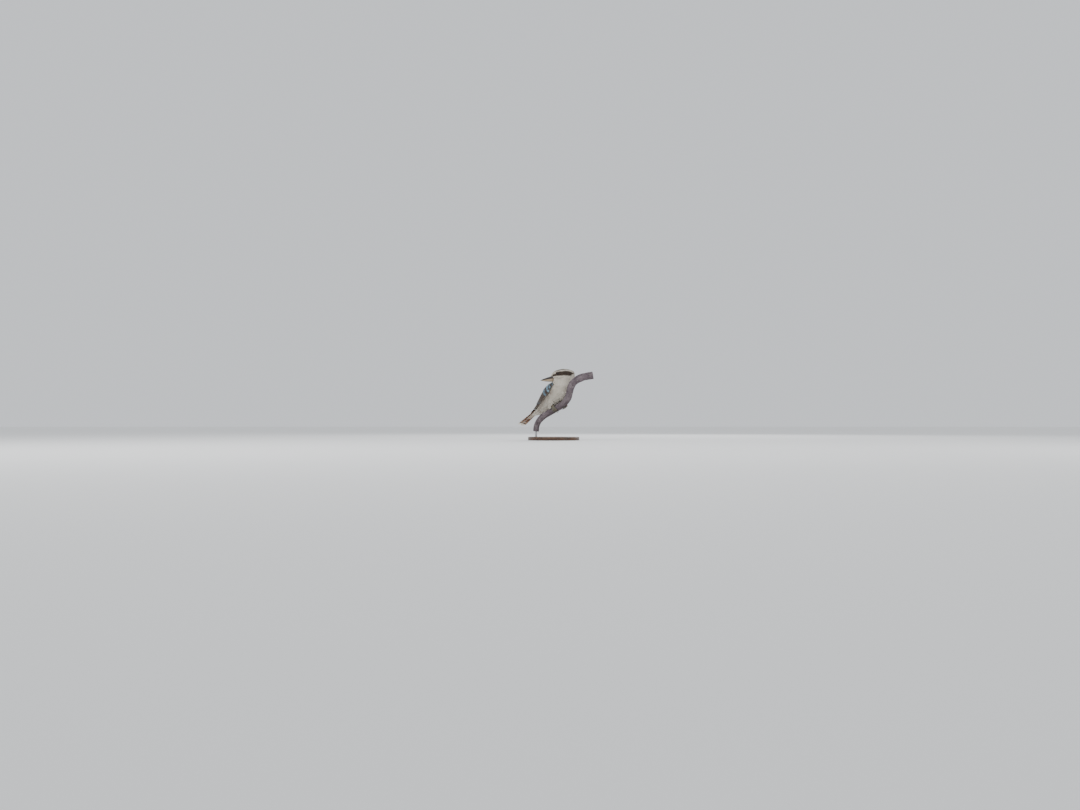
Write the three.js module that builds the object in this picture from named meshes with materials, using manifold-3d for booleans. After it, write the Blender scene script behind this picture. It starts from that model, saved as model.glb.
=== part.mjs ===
// A laughing kookaburra at life size, perched on a short cut length of branch above a plain round stand.
// Millimetres, +Z up, seen from -Y. The origin is the centre of the underside of the stand's base.
import * as THREE from "three";
import { mergeVertices } from "three/addons/utils/BufferGeometryUtils.js";
import Module from "manifold-3d";

const wasm = await Module();
wasm.setup();

const GAP = 0.3; // kept between two pieces that meet
const DEGREE = Math.PI / 180;
const SIDES = { left: 1, right: -1 };

// The stand
const BASE_RADIUS = 108;
const BASE_HEIGHT = 14;
const BASE_BEVEL = 3;
const ROD_RADIUS = 4.5;
const ROD_LENGTH = 22;

// Where the bird stands, and how it is turned
const BODY_AT = new THREE.Vector3(10, -5, 187); // middle of the torso
const BODY_YAW = -45 * DEGREE; // facing right and towards the viewer
const BODY_PITCH = 35 * DEGREE;
const HEAD_FROM_BODY = new THREE.Vector3(26.5, -29, 85);
const HEAD_YAW = 201 * DEGREE; // looking back over the right shoulder
const HEAD_NOD = 9 * DEGREE;
const HEAD_TILT = 8 * DEGREE; // left eye up

// The torso, along its own axis from the rump to the breast: place, half width, height above its middle,
// depth below it, height of the middle
const TORSO_REAR = -96;
const TORSO_FRONT = 92;
const TORSO_LINES = through([
  [TORSO_REAR, 25, 23, 24, 2],
  [-80, 30.5, 27.5, 30, 3],
  [-60, 37.5, 32, 35, 4],
  [-35, 44.5, 38.5, 38.5, 4],
  [-8, 49.5, 43, 42, 4],
  [20, 50.5, 43.5, 43, 2.5],
  [45, 46, 41, 42, 1],
  [66, 38, 37, 35, 0],
  [82, 27, 30, 23, 0],
  [TORSO_FRONT, 13, 20, 8, 0],
]);

// The head along the bill's direction, from the nape to the root of the bill, in the same way
const HEAD_REAR = -52;
const HEAD_FRONT = 49;
const HEAD_LINES = through([
  [HEAD_REAR, 10, 4.5, 18, 0],
  [-44, 20, 12, 27, 0],
  [-29, 28.5, 19.8, 31, 0],
  [-9, 33.5, 23.6, 31, 0],
  [8, 32.5, 24.2, 30, 0],
  [22, 28, 23.2, 28.5, 0],
  [32, 23, 20.6, 27, 0],
  [39, 19.2, 16.2, 25.5, 0],
  [44, 16.6, 10.6, 24, 0],
  [HEAD_FRONT, 14, 3.5, 21.5, 0],
]);

const NECK_TOP = -12; // where the neck ends inside the head

const BILL_LENGTH = 52;
const BILL_HALF_WIDTH = 13.2;
const UPPER_BILL_DEPTH = 10.5;
const LOWER_BILL_DEPTH = 11.5;
const LOWER_BILL_SHARE = 0.92; // of the upper bill's length
const MOUTH_HEIGHT = -9;
const EYE_RADIUS = 7.4;
const EYE_AT = { x: 27, y: 19.2, z: 6 };
const EYE_TURN = 24 * DEGREE; // how far forward each eye looks
const LIDS = { radius: 5.6, thickness: 1.5, reach: 4.75 }; // a ring out from the eye's middle
const GAPE = { length: 24, depth: 1.3, height: 0.9, middle: 36, drop: 1.6, slope: 8 * DEGREE };
const NOSTRIL = { at: [54, 10.2, 2.6], size: [3.2, 1.6, 0.9], slope: 18 * DEGREE };

// The folded wings lie on an envelope round the body: place, half width, height above, depth below,
// height of its middle
const WING_LINES = through([
  [72, 38, 38, 37, 0],
  [50, 47, 43, 44, 0.5],
  [35, 53, 46, 47, 1.5],
  [12, 56, 50, 48, 2.5],
  [-6, 55, 50, 47, 4],
  [-29, 51, 47, 44, 4],
  [-51, 44.5, 41, 40, 5],
  [-75, 35, 32, 34, 8],
  [-100, 26, 22.5, 26, 12],
  [-125, 20, 15.5, 18, 14],
  [-143, 17, 10.5, 10, 14.5],
  [-165, 14, 9, 8, 15.5],
]);
const VANE_THICKNESS = 0.8;
const MOST_LIFT = 2.2; // of a feather's lower edge over its upper edge

// The lower and the upper edge of a folded wing along the body, in degrees above the middle of the flank
const WING_EDGES = through([
  [-150, 30, 66],
  [-120, 14, 62],
  [-74, 5, 61],
  [-40, 3, 65],
  [0, 2, 67],
  [20, 7, 67],
  [35, 18, 65],
  [50, 29, 62],
  [62, 36, 56],
  [70, 40, 50],
]);
const WING_FRONT = 69;
const WING_REAR = -72; // of the solid part under the feathers

// Each tier of a wing: how many feathers, their width, and where the lowest and the highest one start and
// end. A place is [along the body, share of the way from the lower to the upper edge, height over the
// envelope].
const WING_TIERS = {
  primaries: {
    count: 6, width: 12, bow: 20,
    roots: [[-4, 0.05, -3.4], [-14, 0.5, -3.4]],
    tips: [[-124, 0.06, -0.8], [-147, 0.85, -0.8]],
  },
  secondaries: {
    count: 7, width: 13, bow: 13,
    roots: [[20, 0.05, -2.6], [28, 0.92, -2.6]],
    tips: [[-74, 0.03, 0.4], [-92, 0.98, 0.4]],
  },
  greater_coverts: {
    count: 7, width: 13, bow: 3,
    roots: [[36, 0.05, -2.6], [44, 0.9, -2.6]],
    tips: [[-8, -0.02, 1.7], [-18, 1.02, 1.7]],
  },
  median_coverts: {
    count: 6, width: 13, bow: 2,
    roots: [[48, 0.05, -2.4], [54, 0.88, -2.4]],
    tips: [[18, -0.03, 2.4], [14, 1.02, 2.4]],
  },
  lesser_coverts: {
    count: 5, width: 12, bow: 1,
    roots: [[60, 0.1, -2.2], [61, 0.82, -2.2]],
    tips: [[37, -0.04, 1.5], [38, 0.96, 0.6]],
  },
};

// The tail: a full root behind the rump, and six feathers a side in a stack, the middle pair on top
const TAIL_ROOT = -106;
const TAIL_TIP = -255;
const TAIL_TOP = 16.5;
const TAIL_RISE = 0.085; // the tail is carried a little above the line of the back
const TAIL_PAIRS = 6;
const TAIL_FEATHER_WIDTH = 16;
const TAIL_TWIST = 0.42; // drop of the left edge for each unit of width, at the tip
const TAIL_STEP = 0.95; // one feather's thickness and the gap under it
const TAIL_BASE_LINES = through([
  [TORSO_REAR - GAP, 25, 23, 24, 2],
  [-108, 21.5, 18, 21, 3],
  [-120, 18, 13.5, 17.5, 5],
  [-130, 16, 11, 12.5, 7],
  [-145, 14, 8, 8.5, 10.5],
  [-160, 9, 4, 4.5, 15],
]);

// The branch, from its cut lower end to its cut upper end, measured from the middle of the torso
const BRANCH_ROUTE = [
  [-84, 8, -150], [-82, 8, -130], [-73, 5, -109], [-55, -1, -89], [-37, -7, -77],
  [-18, -15, -66], [2, -27, -54], [24, -44, -40], [41, -60, -25], [51, -70, -9], [56, -77, 10],
  [61, -82, 30], [71, -86, 48], [86, -89, 62], [104, -90, 72], [128, -90, 77], [152, -90, 81],
];
const BRANCH_RADIUS = { lower: 12, upper: 15.5 };
const BARK_DEPTH = 0.035; // share of the radius
const KNOTS = [{ at: 0.2, round: 2.2, size: 0.16 }, { at: 0.86, round: 5.2, size: 0.2 }];

// The feet: where each stands along the branch, and the hip and the ankle in the torso's own frame
const FEET = {
  right: { along: 0.37, hip: [-16, -26, -16], ankle: [-30, -34, -38] },
  left: { along: 0.475, hip: [14, 18, -24], ankle: [2, 14, -50] },
};
const TOE_RADIUS = 2.8;
// Each toe: the side it wraps to, how far round the branch, how far it drifts along it, and where its
// root lies
const TOES = [
  { side: 1, turn: 1.75, drift: 9, root: 2.6 },
  { side: 1, turn: 2.05, drift: 3, root: 0 },
  { side: 1, turn: 1.7, drift: -4, root: -2.6 },
  { side: -1, turn: 1.55, drift: -5, root: -1 },
];

const COLOURS = {
  plumage_white: 0xd9d0c0,
  wing_brown: 0x4a3a30,
  tail_barred: 0x8a5a3a,
  bill_black: 0x26211f,
  bill_horn: 0xb49a72,
  eye: 0x2a1710,
  foot_skin: 0x6d6a5c,
  bark: 0x5b4f55,
  base_wood: 0x3a2a20,
  rod_steel: 0x9a9a9c,
};

// A smooth line through rows of [x, value, value...], as a function of x that gives the values.
function through(rows) {
  const rising = rows[0][0] < rows[rows.length - 1][0] ? rows : [...rows].reverse();
  const slope = (i, column) => {
    const before = rising[Math.max(i - 1, 0)];
    const after = rising[Math.min(i + 1, rising.length - 1)];
    return (after[column] - before[column]) / (after[0] - before[0]);
  };
  return (x) => {
    const last = rising.length - 2;
    const found = rising.findIndex((row) => row[0] > x) - 1;
    const i = found === -2 ? last : Math.max(found, 0);
    const [start, end] = [rising[i], rising[i + 1]];
    const span = end[0] - start[0];
    const t = THREE.MathUtils.clamp((x - start[0]) / span, 0, 1);
    return start.slice(1).map((value, k) => {
      const column = k + 1;
      return (
        (2 * t ** 3 - 3 * t ** 2 + 1) * value +
        (t ** 3 - 2 * t ** 2 + t) * span * slope(i, column) +
        (3 * t ** 2 - 2 * t ** 3) * end[column] +
        (t ** 3 - t ** 2) * span * slope(i + 1, column)
      );
    });
  };
}

const mix = (a, b, t) => a + (b - a) * t;
const mixPoint = (a, b, t) => a.map((value, k) => mix(value, b[k], t));
const range = (count) => [...Array(count).keys()];
const share = (k, count) => (count > 1 ? k / (count - 1) : 0.5);

function geometryOf(points, faces) {
  return new THREE.BufferGeometry().setFromPoints(points).setIndex(faces.flat());
}

// A three.js geometry as a manifold solid, turned face out.
function solidOf(geometry) {
  const bare = geometry.clone();
  bare.deleteAttribute("normal");
  bare.deleteAttribute("uv");
  const merged = mergeVertices(bare, 1e-4);
  const corners = merged.index.array;
  const kept = [];
  for (let i = 0; i < corners.length; i += 3) {
    const [a, b, c] = [corners[i], corners[i + 1], corners[i + 2]];
    if (a !== b && b !== c && c !== a) kept.push([a, b, c]);
  }
  const make = (faces) =>
    new wasm.Manifold(
      new wasm.Mesh({
        numProp: 3,
        vertProperties: merged.attributes.position.array,
        triVerts: new Uint32Array(faces.flat()),
      }),
    );
  const made = make(kept);
  return made.volume() > 0 ? made : make(kept.map(([a, b, c]) => [a, c, b]));
}

// The largest closed body of a solid as a geometry.
function largest(solid) {
  const bodies = solid.decompose().sort((a, b) => b.volume() - a.volume());
  const mesh = bodies[0].getMesh();
  return new THREE.BufferGeometry()
    .setAttribute("position", new THREE.BufferAttribute(new Float32Array(mesh.vertProperties), 3))
    .setIndex(new THREE.BufferAttribute(new Uint32Array(mesh.triVerts), 1));
}

const join = (solids) => solids.reduce((whole, next) => whole.add(next));
const moved = (solid, matrix) => solid.transform(matrix.elements);

// A closed skin through rings of points, with a pole in the middle of each end ring.
function shell(rings) {
  const count = rings[0].length;
  const middle = (ring) =>
    ring.reduce((sum, p) => sum.add(p), new THREE.Vector3()).divideScalar(count);
  const points = [...rings.flat(), middle(rings[0]), middle(rings[rings.length - 1])];
  const [first, last] = [points.length - 2, points.length - 1];
  const faces = [];
  for (const i of range(count)) {
    const j = (i + 1) % count;
    const end = (rings.length - 1) * count;
    faces.push([first, j, i], [last, end + i, end + j]);
    for (const r of range(rings.length - 1)) {
      const [here, next] = [r * count, (r + 1) * count];
      faces.push([here + i, here + j, next + j], [here + i, next + j, next + i]);
    }
  }
  return geometryOf(points, faces);
}

// An oval ring across the x axis, with its own height above and depth below the middle.
function oval(x, middle, wide, up, down, sides) {
  return range(sides).map((k) => {
    const turn = (2 * Math.PI * k) / sides;
    const height = Math.sin(turn);
    return new THREE.Vector3(x, wide * Math.cos(turn), middle + height * (height > 0 ? up : down));
  });
}

// A body of oval rings along x, grown by a margin all round.
function ovalBody(lines, rear, front, { grow = 0, rings = 22, sides = 24 } = {}) {
  return shell(
    range(rings).map((k) => {
      const t = 0.5 - 0.5 * Math.cos(Math.PI * mix(0.09, 0.91, share(k, rings)));
      const even = (t - 0.0199) / 0.9602;
      const [wide, up, down, middle] = lines(mix(rear, front, even));
      const x = mix(rear - grow, front + grow, even);
      return oval(x, middle, wide + grow, up + grow, down + grow, sides);
    }),
  );
}

// A tube along a curve. radius(t, turn) may change along it and round it.
function tube(curve, radius, { steps = 8, sides = 10, from = 0, to = 1 } = {}) {
  const frames = frameAlong(curve, steps, from, to);
  return shell(
    frames.map(({ t, centre, normal, binormal }) =>
      range(sides).map((k) => {
        const turn = (2 * Math.PI * k) / sides;
        return centre
          .clone()
          .addScaledVector(normal, radius(t, turn) * Math.cos(turn))
          .addScaledVector(binormal, radius(t, turn) * Math.sin(turn));
      }),
    ),
  );
}

// Places along a curve with a cross direction that is carried along without twist.
function frameAlong(curve, steps, from = 0, to = 1) {
  let normal = new THREE.Vector3(0.3, 0.2, 1);
  return range(steps + 1).map((k) => {
    const t = mix(from, to, k / steps);
    const tangent = curve.getTangentAt(t);
    normal = normal.clone().addScaledVector(tangent, -normal.dot(tangent)).normalize();
    return { t, centre: curve.getPointAt(t), normal, binormal: tangent.clone().cross(normal) };
  });
}

// A thin closed sheet. lay(s, c, top) gives the point a share s along it, c across it from -1 to 1, on its
// top or its bottom face. Both faces are split into the same triangles.
function sheet(lay, stations, strips) {
  const across = range(strips + 1).map((j) => (2 * j) / strips - 1);
  const points = [false, true].flatMap((top) =>
    stations.flatMap((s) => across.map((c) => lay(s, c, top))),
  );
  const width = strips + 1;
  const layer = stations.length * width;
  const at = (i, j, top) => (top ? layer : 0) + i * width + j;
  const faces = [];
  const quad = (a, b, c, d) => faces.push([a, b, c], [a, c, d]);
  for (const i of range(stations.length - 1)) {
    for (const j of range(strips)) {
      const [a, b, c, d] = [[i, j], [i, j + 1], [i + 1, j + 1], [i + 1, j]];
      quad(at(...a, true), at(...b, true), at(...c, true), at(...d, true));
      faces.push([at(...a), at(...c), at(...b)], [at(...a), at(...d), at(...c)]);
    }
    quad(at(i, 0), at(i, 0, true), at(i + 1, 0, true), at(i + 1, 0));
    quad(at(i, strips, true), at(i, strips), at(i + 1, strips), at(i + 1, strips, true));
  }
  for (const j of range(strips)) {
    const end = stations.length - 1;
    quad(at(0, j), at(0, j + 1), at(0, j + 1, true), at(0, j, true));
    quad(at(end, j + 1), at(end, j), at(end, j, true), at(end, j + 1, true));
  }
  return geometryOf(points, faces);
}

// A feather has few stations between its root and its tip. vaneWidth is the share of its full width at each.
const VANE_STATIONS = [0, 0.5, 0.86, 1];
const TAIL_STATIONS = [0, 0.45, 0.9, 0.965, 1];
const vaneTip = (s) => Math.sqrt(1 - Math.max(0, (s - 0.62) / 0.385) ** 2.6);
const vaneWidth = (s) => (s < 0.35 ? mix(0.7, 1, s / 0.35) : vaneTip(s));

const bodyMatrix = new THREE.Matrix4()
  .makeRotationFromEuler(new THREE.Euler(0, -BODY_PITCH, BODY_YAW, "ZYX"))
  .setPosition(BODY_AT);
const headMatrix = new THREE.Matrix4()
  .makeRotationFromEuler(new THREE.Euler(HEAD_TILT, HEAD_NOD, HEAD_YAW, "ZYX"))
  .setPosition(BODY_AT.clone().add(HEAD_FROM_BODY));
const headInBody = bodyMatrix.clone().invert().multiply(headMatrix);
const branchInBody = bodyMatrix.clone().invert();

const bodyForm = (grow = 0) =>
  solidOf(ovalBody(TORSO_LINES, TORSO_REAR, TORSO_FRONT, { grow, rings: 17, sides: 22 }));
const headForm = (grow = 0) =>
  solidOf(ovalBody(HEAD_LINES, HEAD_REAR, HEAD_FRONT, { grow, rings: 13, sides: 20 }));

const eyePlace = (side) => new THREE.Vector3(EYE_AT.x, side * EYE_AT.y, EYE_AT.z);

// The raised lids: a ring round each eye, square to the way that it looks.
function lidRings(grow = 0) {
  return Object.values(SIDES).map((side) => {
    const ring = new THREE.TorusGeometry(LIDS.radius, LIDS.thickness + grow, 6, 16);
    ring.rotateX(90 * DEGREE).rotateZ(-side * EYE_TURN);
    const look = new THREE.Vector3(Math.sin(EYE_TURN), side * Math.cos(EYE_TURN), 0);
    ring.translate(...eyePlace(side).addScaledVector(look, LIDS.reach).toArray());
    return solidOf(ring);
  });
}

// The room that the turned head takes out of its neighbours.
const headSpace = () => moved(join([headForm(GAP), ...lidRings(GAP)]), headInBody);

// The torso, hollowed where the turned head sinks between the shoulders.
const torso = () => bodyForm().subtract(headSpace());

// The head in its own frame: bill along +x. Raised lids, a socket for each eye, and the line of the gape.
function head() {
  const sockets = Object.values(SIDES).map((side) =>
    solidOf(eyeBall(EYE_RADIUS + GAP).translate(...eyePlace(side).toArray())),
  );
  const slit = new THREE.BoxGeometry(GAPE.length, 90, GAPE.height);
  slit.rotateY(-GAPE.slope).translate(GAPE.middle, 0, MOUTH_HEIGHT - GAPE.drop);
  const gape = solidOf(slit).subtract(headForm(-GAPE.depth));
  return join([headForm(), ...lidRings()]).subtract(join(sockets)).subtract(gape);
}

const eyeBall = (radius) => new THREE.SphereGeometry(radius, 14, 10);

// How far the bill's tip bends down at a share u of its length.
const hook = (u) => 1.6 * Math.max(0, (u - 0.8) / 0.2) ** 2;

// The upper bill: a deep ridge that tapers to a small hook. The lower bill: shallower, rising to its tip.
function upperBill() {
  const rings = range(9).map((k) => {
    const u = share(k, 9);
    const wide = BILL_HALF_WIDTH * (1 - u) ** 0.72 + 0.8;
    const ridge = UPPER_BILL_DEPTH * (1 - u ** 1.25) ** 0.85 + 0.9;
    const x = HEAD_FRONT + GAP + BILL_LENGTH * u;
    return oval(x, MOUTH_HEIGHT + GAP - hook(u), wide, ridge - 0.3 * hook(u), 0.1, 14);
  });
  const nostrils = Object.values(SIDES).map((side) => {
    const slit = new THREE.SphereGeometry(1, 8, 6);
    const [x, y, z] = NOSTRIL.at;
    slit.scale(...NOSTRIL.size).rotateY(NOSTRIL.slope).translate(x, side * y, z);
    return solidOf(slit);
  });
  return solidOf(shell(rings)).subtract(join(nostrils));
}

function lowerBill() {
  const rings = range(8).map((k) => {
    const u = share(k, 8);
    const wide = (BILL_HALF_WIDTH - 0.8) * (1 - u) ** 0.72 + 0.7;
    const keel = LOWER_BILL_DEPTH * (1 - u ** 1.5) ** 0.9 + 0.6;
    const x = HEAD_FRONT + GAP + LOWER_BILL_SHARE * BILL_LENGTH * u;
    return oval(x, MOUTH_HEIGHT - GAP - hook(LOWER_BILL_SHARE * u), wide, 0.1, keel, 14);
  });
  return solidOf(shell(rings));
}

// The neck joins the top of the breast to the head, and is cut to meet both.
function neckForm() {
  const curve = new THREE.CatmullRomCurve3([
    new THREE.Vector3(44, 0, 4),
    new THREE.Vector3(62, -2, 22),
    new THREE.Vector3(0, 0, NECK_TOP).applyMatrix4(headInBody),
  ]);
  const girth = through([[0, 36], [0.5, 39], [0.8, 37.5], [1, 33]]);
  return solidOf(tube(curve, (t) => girth(t)[0], { steps: 6, sides: 20 }));
}

// A point of the wing's envelope: x along the body, degrees above the middle of the flank, height over the
// envelope.
function onWing(side, x, degrees, height) {
  const [wide, up, down, middle] = WING_LINES(x);
  const [c, s] = [Math.cos(degrees * DEGREE), Math.sin(degrees * DEGREE)];
  return new THREE.Vector3(x, side * (wide + height) * c, middle + ((s > 0 ? up : down) + height) * s);
}

const wingDegrees = (x, across) => mix(...WING_EDGES(x), across);

// The solid part of the wing under its feathers.
function wingBody(side) {
  const lay = (s, c, top) => {
    const x = mix(WING_FRONT, WING_REAR, s);
    return onWing(side, x, wingDegrees(x, (c + 1) / 2), top ? 0 : -7);
  };
  return solidOf(sheet(lay, range(10).map((k) => share(k, 10)), 6));
}

// The room that the shoulder of a wing and its coverts take out of the neck.
function shoulderSpace(side) {
  const lay = (s, c, top) => {
    const x = mix(WING_FRONT + 2 * GAP, 15, s);
    const overhang = mix(3, 11, Math.min(1, 4 * s));
    const [low, high] = WING_EDGES(Math.min(x, WING_FRONT));
    return onWing(side, x, mix(low - overhang, high + overhang, (c + 1) / 2), top ? 6 : -9);
  };
  return solidOf(sheet(lay, range(7).map((k) => share(k, 7)), 6));
}

const neck = () =>
  neckForm().subtract(
    join([bodyForm(GAP), headSpace(), ...Object.values(SIDES).map(shoulderSpace)]),
  );

// One feather of a wing tier. The lower edge of each lies over the feather below it.
function wingVane(side, tier, k) {
  const t = share(k, tier.count);
  const root = mixPoint(tier.roots[0], tier.roots[1], t);
  const tip = mixPoint(tier.tips[0], tier.tips[1], t);
  tip[0] -= tier.bow * Math.sin(Math.PI * t ** 0.8);
  const lay = (s, c, top) => {
    const [x, across, height] = mixPoint(root, tip, s);
    const [wide, up] = WING_LINES(x);
    const girth = ((wide + up) / 2) * DEGREE;
    const [low, high] = WING_EDGES(x);
    const spread = mix(tier.roots[1][1] - tier.roots[0][1], tier.tips[1][1] - tier.tips[0][1], s);
    const spacing = (girth * (high - low) * spread) / (tier.count - 1);
    const lift = Math.min(MOST_LIFT, ((VANE_THICKNESS + GAP) * tier.width) / spacing);
    const half = (tier.width / 2) * vaneWidth(s);
    const turned = wingDegrees(x, across) + (c * half) / girth;
    const raised = height + (lift * (1 - c)) / 2 + (top ? VANE_THICKNESS + 0.35 * (1 - c * c) : 0);
    return onWing(side, x, turned, raised);
  };
  return solidOf(sheet(lay, VANE_STATIONS, 2));
}

function wing(side) {
  const vanes = Object.values(WING_TIERS).flatMap((tier) =>
    range(tier.count).map((k) => wingVane(side, tier, k)),
  );
  const neighbours = join([bodyForm(GAP), headSpace(), tailBase(GAP), tailSpace()]);
  return join([wingBody(side), ...vanes]).subtract(neighbours);
}

// The height of the tail's upper face at x along the body and y to the left.
function tailHeight(x, y) {
  const along = (TAIL_ROOT - x) / (TAIL_ROOT - TAIL_TIP);
  const arch = 0.05 * Math.abs(y) + 0.003 * y * y;
  return TAIL_TOP + TAIL_RISE * (TORSO_REAR - x) - arch - TAIL_TWIST * along * y;
}

// The room over the tail that the wing tips keep out of.
function tailSpace() {
  const lay = (s, c, top) => {
    const [x, y] = [mix(TAIL_ROOT, TAIL_TIP, s), 27 * c];
    return new THREE.Vector3(x, y, tailHeight(x, y) + (top ? 2.6 : -9));
  };
  return solidOf(sheet(lay, range(5).map((k) => share(k, 5)), 6));
}

const tailBase = (grow = 0) =>
  solidOf(ovalBody(TAIL_BASE_LINES, -160, TORSO_REAR - GAP, { grow, rings: 8, sides: 16 }));

// One feather of the tail, from near the midline out to its outer edge.
function tailFeather(side, outer, width, shorter, level) {
  const lay = (s, c, top) => {
    const edge = mix(0.5 * outer + 3, outer, s ** 0.8);
    const inner = Math.max(0.2, edge - mix(12, width, s));
    const rounding = vaneWidth(mix(0.62, 1, Math.max(0, (s - 0.88) / 0.12)));
    const y = inner + ((c + 1) / 2) * (edge - inner) * rounding;
    const x = mix(TAIL_ROOT, TAIL_TIP + shorter, s);
    const z = level + tailHeight(x, side * y);
    return new THREE.Vector3(x, side * y, z + (top ? 0.65 + 0.25 * (1 - c * c) : 0));
  };
  return solidOf(sheet(lay, TAIL_STATIONS, 2));
}

// The tail: its full root, the flight feathers, and the coverts above and below them.
function tail() {
  const length = TAIL_ROOT - TAIL_TIP;
  const lowest = -TAIL_STEP * TAIL_PAIRS;
  const flight = range(TAIL_PAIRS).map((k) => [
    10.5 + 1.3 * k, TAIL_FEATHER_WIDTH, 1 + 0.3 * k * k, -TAIL_STEP * k,
  ]);
  const over = range(3).map((k) => [8.5 + 2.2 * k, 10, length * (0.6 + 0.08 * k), 1.3 - 0.3 * k]);
  const under = range(2).map((k) => [9 + 3.5 * k, 12, length * (0.42 + 0.12 * k), lowest - 1.2]);
  const vanes = [...flight, ...over, ...under].flatMap(([outer, width, shorter, level]) =>
    Object.values(SIDES).map((side) => tailFeather(side, outer, width, shorter, level)),
  );
  return join([tailBase(), ...vanes]);
}

const branchCurve = new THREE.CatmullRomCurve3(
  BRANCH_ROUTE.map((p) => new THREE.Vector3(...p).add(BODY_AT)),
);
const branchRadius = (t) => mix(BRANCH_RADIUS.lower, BRANCH_RADIUS.upper, t);

// The branch with ridged bark and two knots.
function branch(grow = 0) {
  const radius = (t, turn) => {
    const ridges = Math.sin(3 * turn + 9 * t) + 0.6 * Math.sin(5 * turn - 31 * t) + 0.5 * Math.sin(47 * t);
    const knots = KNOTS.map(({ at, round, size }) => {
      const away = 1 - Math.cos(turn - round);
      return size * Math.exp(-(((t - at) / 0.03) ** 2) - 3 * away);
    });
    return branchRadius(t) * (1 + BARK_DEPTH * ridges + knots[0] + knots[1]) + grow;
  };
  return solidOf(tube(branchCurve, radius, { steps: 36, sides: 12 }));
}

// The branch's frame where a foot stands: up points from the branch to the bird.
function footing(along, up) {
  const centre = branchCurve.getPointAt(along);
  const tangent = branchCurve.getTangentAt(along);
  const over = up.clone().addScaledVector(tangent, -up.dot(tangent)).normalize();
  return { centre, tangent, over, across: tangent.clone().cross(over) };
}

const legPoint = (name, joint) => new THREE.Vector3(...FEET[name][joint]).applyMatrix4(bodyMatrix);

// A foot with the bare leg over it: four toes wrap round the branch, and each ends in a curved claw.
function foot(name, side) {
  const { along } = FEET[name];
  const ankle = legPoint(name, "ankle");
  const up = ankle.clone().sub(branchCurve.getPointAt(along));
  const length = branchCurve.getLength();
  const place = (turn, drift, clearance) => {
    const t = along + drift / length;
    const { centre, over, across } = footing(t, up);
    const reach = branchRadius(t) + clearance;
    return centre
      .addScaledVector(over, reach * Math.cos(turn))
      .addScaledVector(across, reach * Math.sin(turn));
  };
  const digits = TOES.flatMap((toe) => {
    const wrap = -side * toe.side;
    const steps = range(7).map((k) => {
      const s = share(k, 7);
      const arch = 0.8 * Math.sin(Math.PI * s);
      return place(wrap * mix(0.02, toe.turn, s), toe.root + toe.drift * s, TOE_RADIUS + 0.9 + arch);
    });
    const pads = (t) => TOE_RADIUS * (1 - 0.22 * t) * (1 + 0.08 * Math.cos(6 * Math.PI * t));
    const claw = [0, 0.35, 0.7, 1].map((s) => {
      const arch = TOE_RADIUS + 1.1 + 2.2 * Math.sin(Math.PI * 0.8 * s);
      return place(wrap * (toe.turn + 0.62 * s), toe.root + toe.drift * (1 + 0.25 * s), arch);
    });
    return [
      solidOf(tube(new THREE.CatmullRomCurve3(steps), pads, { steps: 6, sides: 6 })),
      solidOf(tube(new THREE.CatmullRomCurve3(claw), (t) => mix(1.7, 0.35, t), { steps: 3, sides: 5 })),
    ];
  });
  const pad = place(0, 0, 3.4);
  const shin = new THREE.LineCurve3(pad, ankle);
  const leg = solidOf(tube(shin, (t) => mix(3.4, 3, t), { steps: 2, sides: 8 }));
  const sole = new THREE.SphereGeometry(4.4, 8, 5).translate(...pad.toArray());
  return join([leg, solidOf(sole), ...digits]).subtract(branch(GAP)).subtract(thighForm(name, GAP));
}

// The feathered thigh, from the flank to just past the ankle.
function thighForm(name, grow = 0) {
  const curve = new THREE.LineCurve3(legPoint(name, "hip"), legPoint(name, "ankle"));
  const girth = through([[0, 15], [0.4, 13], [0.8, 9], [1, 7], [1.1, 4.5]]);
  return solidOf(tube(curve, (t) => girth(t)[0] + grow, { steps: 8, sides: 14, to: 1.1 + grow / 40 }));
}

const thigh = (name) =>
  thighForm(name).subtract(moved(bodyForm(GAP), bodyMatrix)).subtract(branch(GAP));

function base() {
  const profile = [
    [0, 0], [BASE_RADIUS - 1, 0], [BASE_RADIUS, 1], [BASE_RADIUS, BASE_HEIGHT - BASE_BEVEL],
    [BASE_RADIUS - BASE_BEVEL, BASE_HEIGHT], [0, BASE_HEIGHT],
  ].map(([x, y]) => new THREE.Vector2(x, y));
  return new THREE.LatheGeometry(profile, 44).rotateX(90 * DEGREE);
}

function rod() {
  const end = branchCurve.getPointAt(0);
  const top = BASE_HEIGHT + GAP + ROD_LENGTH;
  const stem = new THREE.CylinderGeometry(ROD_RADIUS, ROD_RADIUS, top - BASE_HEIGHT - GAP, 20);
  stem.rotateX(90 * DEGREE).translate(end.x, end.y, (top + BASE_HEIGHT + GAP) / 2);
  return solidOf(stem).subtract(branch(GAP));
}

const materials = Object.fromEntries(
  Object.entries(COLOURS).map(([slot, color]) => [
    slot,
    new THREE.MeshStandardMaterial({
      color,
      roughness: slot === "eye" ? 0.1 : 0.8,
      metalness: slot === "rod_steel" ? 1 : 0,
    }),
  ]),
);

function piece(name, slot, solid) {
  const mesh = new THREE.Mesh(solid.isBufferGeometry ? solid : largest(solid), materials[slot]);
  mesh.name = name;
  return mesh;
}

const placed = (matrix, pieces) => {
  const group = new THREE.Group();
  group.applyMatrix4(matrix);
  return group.add(...pieces);
};

const eyes = Object.entries(SIDES).map(([name, side]) => {
  const mesh = piece(`eye_${name}`, "eye", solidOf(eyeBall(EYE_RADIUS)));
  mesh.position.set(EYE_AT.x, side * EYE_AT.y, EYE_AT.z);
  return mesh;
});

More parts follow.
